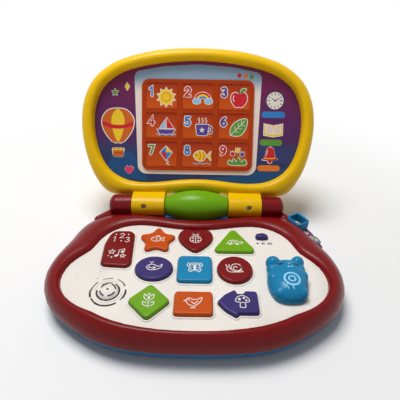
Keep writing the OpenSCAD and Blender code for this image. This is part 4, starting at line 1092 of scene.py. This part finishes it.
inner, outer = KNUCKLE_SPAN
stations = ([(inner + x, d) for x, d in KNUCKLE_ENDS]
            + [(outer - x, d) for x, d in reversed(KNUCKLE_ENDS)])
for side, name in ((-1, "left"), (1, "right")):
    skin = bmesh.new()
    skinned(skin, [[(side * x, y, z) for y, z in knuckle_line(KNUCKLE_R - d)]
                   for x, d in stations], LID)
    knuckle = finished("knuckle_skin_" + name, skin, yellow_plastic)
    drill = bmesh.new()
    skinned(drill, [level(oval(0, 0, r, steps=32), z, (side * CLAMP_SCREW_X, 0.0))
                    for r, z in SCREW_RECESS], LID)
    bit = finished("drill_" + name, drill)
    bore = knuckle.modifiers.new("screw_recess", "BOOLEAN")
    bore.object = bit
    bore.solver = "EXACT"
    settled(knuckle)
    bpy.data.objects.remove(bit)
    keep_flats(knuckle)
    fitted(knuckle, "lid_frame")

# Two thin webs close the ring behind the cover's tapered ends
WEB_GAP = 0.9
WEB_FOOT_Y = 17.6
WEB_Z = (-9.0, -5.6)
WEB_FROM_X, WEB_STEP_X = 27.5, 1.1
web_xs = [WEB_FROM_X + WEB_STEP_X * k for k in range(10)]
web_line = ([(x, COVER_END_R + WEB_GAP + cover_bulge(x / COVER_HALF)) for x in web_xs]
            + [(web_xs[-1], WEB_FOOT_Y), (web_xs[0], WEB_FOOT_Y)])
webs = bmesh.new()
for side in (-1, 1):
    slab(webs, [(side * x, y) for x, y in web_line], *WEB_Z, LID)
fitted(finished("ring_webs", webs, yellow_plastic), "lid_frame")

# ---- Light board, lamps and light grid ----
# Nine small lamps with clear lenses, soldered to a green board. A white ABS grid around them
# keeps each lamp's light in its own window.
LAMP_CREAM = (240, 226, 180)
GRID_WHITE = (232, 232, 228)
finish_node("light_board", board_lacquer)
finish_node("lamps", moulded("lamp_lens", LAMP_CREAM, 0.2))
finish_node("light_grid", moulded("grid_white", GRID_WHITE, 0.5))

# ---- Picture sheet ----
# The printed film on card behind the screen, clamped in the ring: a navy to purple sky with two
# beams of light and a haze, a pale frame with a blue header, a balloon, and a dial, a book and a
# bell at the right.
SHEET_Z = -12.5
LAYER_MM = 0.035
PRINT_SINK = 0.2
LID_INKS = {
    "white": (240, 232, 224), "beam": (28, 76, 126), "haze": (52, 58, 106),
    "red": (206, 34, 44), "yellow": (244, 204, 44), "green": (92, 148, 52),
    "blue": (52, 128, 196), "purple": (86, 66, 146), "brown": (206, 100, 34),
    "pink": (228, 60, 112), "dark": (96, 44, 40), "orange": (236, 124, 40),
    "line": (62, 48, 66), "sky": (150, 196, 228),
}
SKY_BANDS = ((0.0, (30, 46, 90)), (0.2, (40, 52, 96)), (0.3, (52, 54, 100)),
             (0.36, (76, 34, 88)), (0.55, (88, 30, 86)), (0.8, (108, 28, 76)),
             (1.0, (120, 28, 68)))
SKY_LOW, SKY_HIGH = 27.0, 172.0
FRAME_BANDS = ((0.0, (244, 226, 212)), (0.76, (240, 226, 216)), (0.87, (150, 174, 196)),
               (1.0, (134, 162, 188)))
FRAME_LOW, FRAME_HIGH = 37.0, 167.0
FRAME_CORNERS = [(71.6, 37.4, 11), (75.4, 158.4, 8), (40, 165, 40), (0, 167.6, 60),
                 (-40, 165, 40), (-76.4, 158.4, 8), (-72.6, 37.4, 11)]
LEFT_BEAM = [(-112, 42), (-96, 31.4), (-60, 28.4), (-78, 62), (-101, 66)]
RIGHT_BEAM = [(-20, 29.0), (34, 28.4), (70, 26.6), (97, 33), (112, 47), (86, 44), (40, 36)]
HAZE = [(75, 74), (75, 58), (112, 50.5), (119, 63), (100, 70)]
UP_THE_LID = (LID.to_3x3() @ Vector((0.0, 1.0, 0.0))).normalized()
lid_inks = [ink("lid_" + name, rgb) for name, rgb in LID_INKS.items()]


def banded(name, bands, low, high, rough=0.4):
    """A colour that runs up the lid through bands of (height share, colour), for printed film and
    for painted light on the window panes.
    """
    material = ink(name, bands[0][1], rough)
    nodes = material.node_tree.nodes
    up = plug(nodes.new("ShaderNodeVectorMath"), {
        0: nodes.new("ShaderNodeTexCoord").outputs["Object"], 1: UP_THE_LID})
    up.operation = "DOT_PRODUCT"
    start, end = (UP_THE_LID.dot(LID @ Vector((0.0, height, 0.0))) for height in (low, high))
    share = plug(nodes.new("ShaderNodeMapRange"), {
        "Value": up.outputs["Value"], "From Min": start, "From Max": end})
    colours = ramp(share.outputs["Result"], [(place, paint(rgb)) for place, rgb in bands])
    return recoloured(material, colours.outputs["Color"])


def mark(colour, layer, line, width=None, closed=False):
    """One printed mark: a filled patch, or a band of the given width along a line."""
    return colour, layer, line, width, closed


def lid_print(name, node, surface, marks):
    """Prints marks on a surface of the lid, each ink a thin layer over the last."""
    shape = bmesh.new()
    for colour, layer, line, width, closed in marks:
        low, high = surface - PRINT_SINK, surface + LAYER_MM * (layer + 1)
        number = list(LID_INKS).index(colour)
        if width is None:
            slab(shape, line, low, high, LID, number)
        else:
            stroke(shape, line, width, low, high, LID, number, closed)
    return fitted(finished(name, shape, *lid_inks), node)


def sticker(outline, colour, layer=1, edge=1.7):
    """A coloured patch with a white rim around it."""
    return [mark("white", 0, outline, edge, True), mark(colour, layer, outline)]


def shifted(marks, x, y, size=1.0):
    """Marks scaled about their own middle and moved to a place."""
    return [mark(colour, layer, [(x + size * p[0], y + size * p[1]) for p in line], width, closed)
            for colour, layer, line, width, closed in marks]


def pill(x, y, half_w, half_h, colour):
    """A bare rounded bar."""
    return shifted([mark(colour, 1, rounded(oblong(half_w, half_h, half_h - 0.05)))], x, y)


dressed("picture_film", "picture_sheet", banded("sky_print", SKY_BANDS, SKY_LOW, SKY_HIGH))
frame_patch = bmesh.new()
slab(frame_patch, rounded(FRAME_CORNERS), SHEET_Z - PRINT_SINK, SHEET_Z + 2 * LAYER_MM, LID)
fitted(finished("picture_frame_print", frame_patch,
                banded("frame_print", FRAME_BANDS, FRAME_LOW, FRAME_HIGH)), "picture_sheet")
backdrop = [mark("beam", 0, LEFT_BEAM), mark("beam", 0, RIGHT_BEAM), mark("haze", 0, HAZE)]
backdrop += [mark(colour, 3, oval(x, 160.46 - 0.1 * x, 2.5))
             for x, colour in ((48.6, "red"), (56.2, "orange"), (63.2, "green"))]
balloon = sticker(spline(mirrored((0, 27), (11, 24.6), (17.6, 15), (15.6, 3), (7, -8.6),
                                  (0, -10.4)), 6), "brown", 1, 2.2)
balloon += [mark("yellow", 2, spline(mirrored((0, 26.4), (5.6, 21), (7.4, 12), (4.6, -1),
                                              (0, -9.8)), 6)),
            mark("red", 3, spline(mirrored((0, 4.8), (8, 5.6), (16.6, 8.6), (16.2, 12.6),
                                           (8, 9.8), (0, 9.0)), 4))]
balloon += [mark("dark", 2, rope, 0.7) for rope in ([(-6, -8.8), (-4.4, -17)],
                                                    [(6, -8.8), (4.4, -17)], [(0, -10), (0, -17)])]
balloon += sticker(rounded(mirrored((5.4, -26, 2), (6.4, -17, 1))), "brown", 1, 2.0)
balloon += [mark("yellow", 2, [(-5.8, -18.4), (5.8, -18.4)], 1.5),
            mark("dark", 2, [(-5.4, -22), (5.4, -22)], 0.5)]
dial = [mark("line", 0, oval(0, 0, 11.6)), mark("white", 1, oval(0, 0, 10.2)),
        mark("line", 2, [(-4.2, 2.8), (0, 0), (4.8, 2.6)], 0.8), mark("line", 3, oval(0, 0, 1.1))]
dial += [mark("line", 2, [polar(7.4 if k % 3 else 6.4, 30 * k), polar(8.8, 30 * k)], 0.9)
         for k in range(12)]
book = sticker([(-11, -6.4), (0, -8.4), (11, -6.4), (11, 6.4), (0, 4.4), (-11, 6.4)], "yellow", 1,
               1.8)
for side in (-1, 1):
    book += [mark("white", 2, [(side * 9.4, -4.4), (side * 0.5, -6.2), (side * 0.5, 3.4),
                               (side * 9.4, 5.2)])]
    book += [mark("orange", 3, [(side * 7.8, 2.8 - 2.6 * k), (side * 2, 1.6 - 2.6 * k)], 0.6)
             for k in range(3)]
bell = sticker(spline(mirrored((0, 9.6), (3.8, 7.6), (5.6, 1.6), (7.4, -3.6), (10, -6.6),
                               (5, -7.2), (0, -7.4)), 5), "red", 1, 1.8)
bell += [mark("white", 0, oval(0, -8.6, 3.6)), mark("red", 1, oval(0, -8.8, 2.6)),
         mark("white", 2, bend((-3.0, 5.8), (-4.2, 1.6), (-5.4, -1.6)), 0.8),
         mark("yellow", 2, bend((-7.4, -4.4), (0, -5.4), (7.4, -4.4), steps=6), 1.1)]
small_star = sticker(star_points(0, 0, 4.4, 2.2), "green", 1, 1.0)
diamond = sticker(mirrored((0, -4.6), (2.8, 0), (0, 4.6)), "yellow", 1, 0.9)
heart = sticker(spline(mirrored((0, -5), (4.6, -0.6), (4.8, 3), (2.6, 4.6), (0, 3)), 4), "pink",
                1, 0.9)
lid_print("picture_film_print", "picture_sheet", SHEET_Z,
          backdrop + shifted(balloon, -96.6, 86, 1.08) + shifted(small_star, -99.6, 134)
          + shifted(diamond, -85.0, 141) + shifted(heart, -83.4, 42.0)
          + shifted(dial, 92.0, 127.2) + pill(90.6, 110.6, 14.2, 3.7, "blue")
          + shifted(book, 91.2, 93.0) + pill(88.8, 77.4, 13.8, 3.7, "green")
          + shifted(bell, 88.4, 63.0, 0.92) + pill(87.2, 46.4, 13.8, 3.6, "orange"))

# ---- Window panel ----
# The orange translucent diffuser in front of the lamps, set into the sheet, with nine sunken
# windows. Each window has a figure from 1 to 9 and one small picture, printed with a white rim.
PANEL_AT = (-0.4, 96.0)
CELL_DX, CELL_DY = 43.5, 34.5
CELL_HALF = (18.6, 14.6)
CELL_Z = SHEET_Z + 1.0
CELL_PRINT_Z = CELL_Z + 0.05
PANEL_TOP_Z = SHEET_Z + 1.65
PANE_GAP = 0.3
BEAD_OUT, BEAD_WIDTH, BEAD_HEIGHT = 1.0, 0.7, 0.22
PANEL_ORANGE = (176, 58, 3)
# Painted light: each window's pane runs from a lighter orange at its bottom to a darker one at its
# top
PANE_PAINTED_LIGHT_BANDS = ((0.0, (206, 84, 6)), (0.55, (188, 66, 4)), (1.0, (166, 46, 4)))
panel_plastic = moulded("panel_orange", PANEL_ORANGE, 0.3)
dressed("window_panel_skin", "window_panel", panel_plastic)
for row in (1, 2, 3):
    middle = PANEL_AT[1] + (row - 2) * CELL_DY
    panes, beads = bmesh.new(), bmesh.new()
    for column in (-1, 0, 1):
        place = LID @ Matrix.Translation((PANEL_AT[0] + column * CELL_DX, middle, 0.0))
        slab(panes, rounded(oblong(*CELL_HALF, 2), -PANE_GAP, 4), CELL_Z - 0.1, CELL_PRINT_Z,
             place)
        stroke(beads, rounded(oblong(*CELL_HALF, 2.4), BEAD_OUT, 4), BEAD_WIDTH,
               PANEL_TOP_Z - PRINT_SINK, PANEL_TOP_Z + BEAD_HEIGHT, place, closed=True)
    # The row's panes take this painted light over their own height
    painted_glow = banded("pane_glow_%d" % row, PANE_PAINTED_LIGHT_BANDS, middle - CELL_HALF[1], middle + CELL_HALF[1],
                  0.3)
    fitted(finished("window_panes_%d" % row, panes, painted_glow), "window_panel")
    fitted(finished("window_beads_%d" % row, beads, panel_plastic), "window_panel")

sun = sticker(star_points(0, 0, 10.6, 7.2, 10), "yellow", 1, 1.6)
sun += [mark("orange", 2, oval(0, 0, 5.2)), mark("yellow", 3, oval(0, 0, 4.2))]
rainbow = [mark(colour, layer, oval(0, -4, r, start=0, end=180), width)
           for colour, layer, r, width in (("white", 0, 6.8, 8.2), ("red", 1, 9.0, 2.2),
                                           ("yellow", 1, 6.8, 2.2), ("blue", 1, 4.6, 2.2))]
for x in (-6.8, 6.8):
    puff = spline([(x - 4.2, -5.6), (x, -7.2), (x + 4.2, -5.6), (x + 4.0, -2.4), (x + 0.8, -0.6),
                   (x - 3.6, -2.0)], 5)
    rainbow += [mark("white", 2, puff, 1.2, True), mark("sky", 3, puff)]
apple = sticker(spline(mirrored((0, -9.6), (4.4, -9.4), (9, -2.6), (8.2, 4.4), (3.8, 6.2),
                                (0, 4.8)), 5), "red")
apple += sticker(spline([(1.0, 6.4), (5.0, 6.8), (8.0, 10.4), (3.4, 10.4)], 5), "green", 2, 1.4)
apple += [mark("dark", 3, bend((0, 4.6), (0.2, 7.4), (-1.6, 9.8), steps=4), 1.1),
          mark("white", 2, bend((-6.0, 2.6), (-6.8, -0.6), (-5.6, -3.6), steps=4), 1.0)]
boat = sticker([(-10.4, -3.4), (-6.8, -8.6), (6.4, -8.6), (10.4, -3.4)], "purple")
boat += sticker([(0.6, -1.8), (8.8, -1.8), (0.6, 10.2)], "red")
boat += sticker([(-1.2, -1.8), (-1.2, 7.8), (-7.4, -1.8)], "sky")
boat += [mark("sky", 3, bend((-11, -8.2), (-7.6, -9.8), (-4, -8.4), (0, -9.8), (4, -8.4),
                             (7.6, -9.8), (11, -8.4), steps=4), 1.1)]
cup = sticker(rounded(mirrored((6.0, -9.4, 2.4), (7.4, 2.8, 0.8))), "purple")
cup += [mark(colour, layer, oval(7.4, -3.0, 4.0, 3.6, start=-80, end=80), width)
        for colour, layer, width in (("white", 0, 3.6), ("purple", 1, 1.8))]
cup += [mark("white", 2, star_points(-0.2, -3.4, 3.4, 1.6))]
cup += [mark("white", 1, bend((x, 4.8), (x + 1.2, 6.8), (x - 0.6, 8.6), (x + 0.8, 10.4), steps=4),
             1.0) for x in (-4, 0, 4)]
leaf = sticker(spline([(-8.4, -8.0), (2.6, -8.6), (9.0, 0.6), (9.4, 9.4), (0.6, 8.2),
                       (-7.4, 1.6)], 6), "green")
leaf += [mark("white", 2, bend((-9.6, -9.6), (-2.6, -2.6), (7.4, 7.6)), 0.8)]
leaf += [mark("white", 2, [(x, x), (x + 4.6, x - 0.8)], 0.6) for x in (-4.4, -0.6, 3.0)]
leaf += [mark("white", 2, [(x, x), (x - 0.8, x + 4.4)], 0.6) for x in (-3.2, 0.6, 4.0)]
kite = sticker(mirrored((0, -5.8), (6.8, 3.4), (0, 10.4)), "blue")
kite += [mark("yellow", 2, [(0, 3.4), (6.8, 3.4), (0, 10.4)]),
         mark("red", 2, [(0, -5.8), (0, 3.4), (-6.8, 3.4)]),
         mark("white", 1, bend((0, -5.8), (3.0, -7.6), (0.4, -9.4), (4.0, -10.8)), 0.9)]
fish = sticker(spline([(-9.6, 0), (-5.0, 5.2), (1.4, 5.4), (6.0, 0.6), (10.4, 5.0), (9.4, 0),
                       (10.4, -5.0), (6.0, -0.6), (1.4, -5.4), (-5.0, -5.2)], 5), "yellow")
fish += [mark("orange", 2, bend((-3.0, 4.6), (-1.4, 0), (-3.0, -4.6)), 1.3),
         mark("orange", 2, bend((1.6, 4.4), (3.0, 0), (1.6, -4.4)), 1.3),
         mark("line", 2, oval(-6.2, 1.0, 0.9)),
         mark("sky", 3, bend((-10, -8.4), (-6, -9.6), (-2, -8.4), (2, -9.6), (6, -8.4),
                             (10, -9.6), steps=4), 1.0)]
tulips = sticker(spline([(-9.6, -9.4), (9.6, -9.4), (8.6, -3.6), (4.4, -6.6), (1.4, -1.4),
                         (-1.0, -6.4), (-4.6, -2.6), (-5.4, -6.8), (-9.4, -4.6)], 4), "green")
tulip_head = mirrored((0, -2.6), (2.4, -1.0), (2.6, 2.8), (1.2, 1.2), (0, 3.2))
for x, y, colour in ((-5.6, 3.0, "red"), (5.6, 2.4, "purple"), (0.2, 6.8, "yellow")):
    tulips += [mark("green", 1, [(x, y - 2.6), (x * 0.6, -5.4)], 0.9)]
    tulips += shifted(sticker(tulip_head, colour, 2, 1.3), x, y)
PICTURE_AT, PICTURE_SIZE = (5.6, -1.4), 1.04
FIGURE_AT, FIGURE_HEIGHT = (-12.2, 5.2), 10.0
FIGURE_WIDTH, FIGURE_RIM_WIDTH = 2.2, 4.0
FIGURE_INKS = ("blue", "red", "purple", "red", "blue", "purple", "green", "blue", "red")
cell_art = []
for k, picture in enumerate((sun, rainbow, apple, boat, cup, leaf, kite, fish, tulips)):
    x = PANEL_AT[0] + (k % 3 - 1) * CELL_DX
    y = PANEL_AT[1] + (1 - k // 3) * CELL_DY
    cell_art += shifted(picture, x + PICTURE_AT[0], y + PICTURE_AT[1], PICTURE_SIZE)
    figure = str(k + 1)
    for line in digit(figure, x + FIGURE_AT[0], y + FIGURE_AT[1], FIGURE_HEIGHT):
        cell_art += [mark("white", 0, line, FIGURE_RIM_WIDTH, figure == "8"),
                     mark(FIGURE_INKS[k], 2, line, FIGURE_WIDTH, figure == "8")]
lid_print("window_prints", "window_panel", CELL_PRINT_Z, cell_art)

# ---- Screws of the lid ----
# Four steel screws join the lid's shells from behind. Two more, with duller heads, clamp the
# halves of the knuckles from the front.
SCREW_STEEL = (120, 112, 96)
finish_node("lid_screws", steel)
finish_node("knuckle_screws", metal("aged_steel", SCREW_STEEL, 0.4))

low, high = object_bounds()
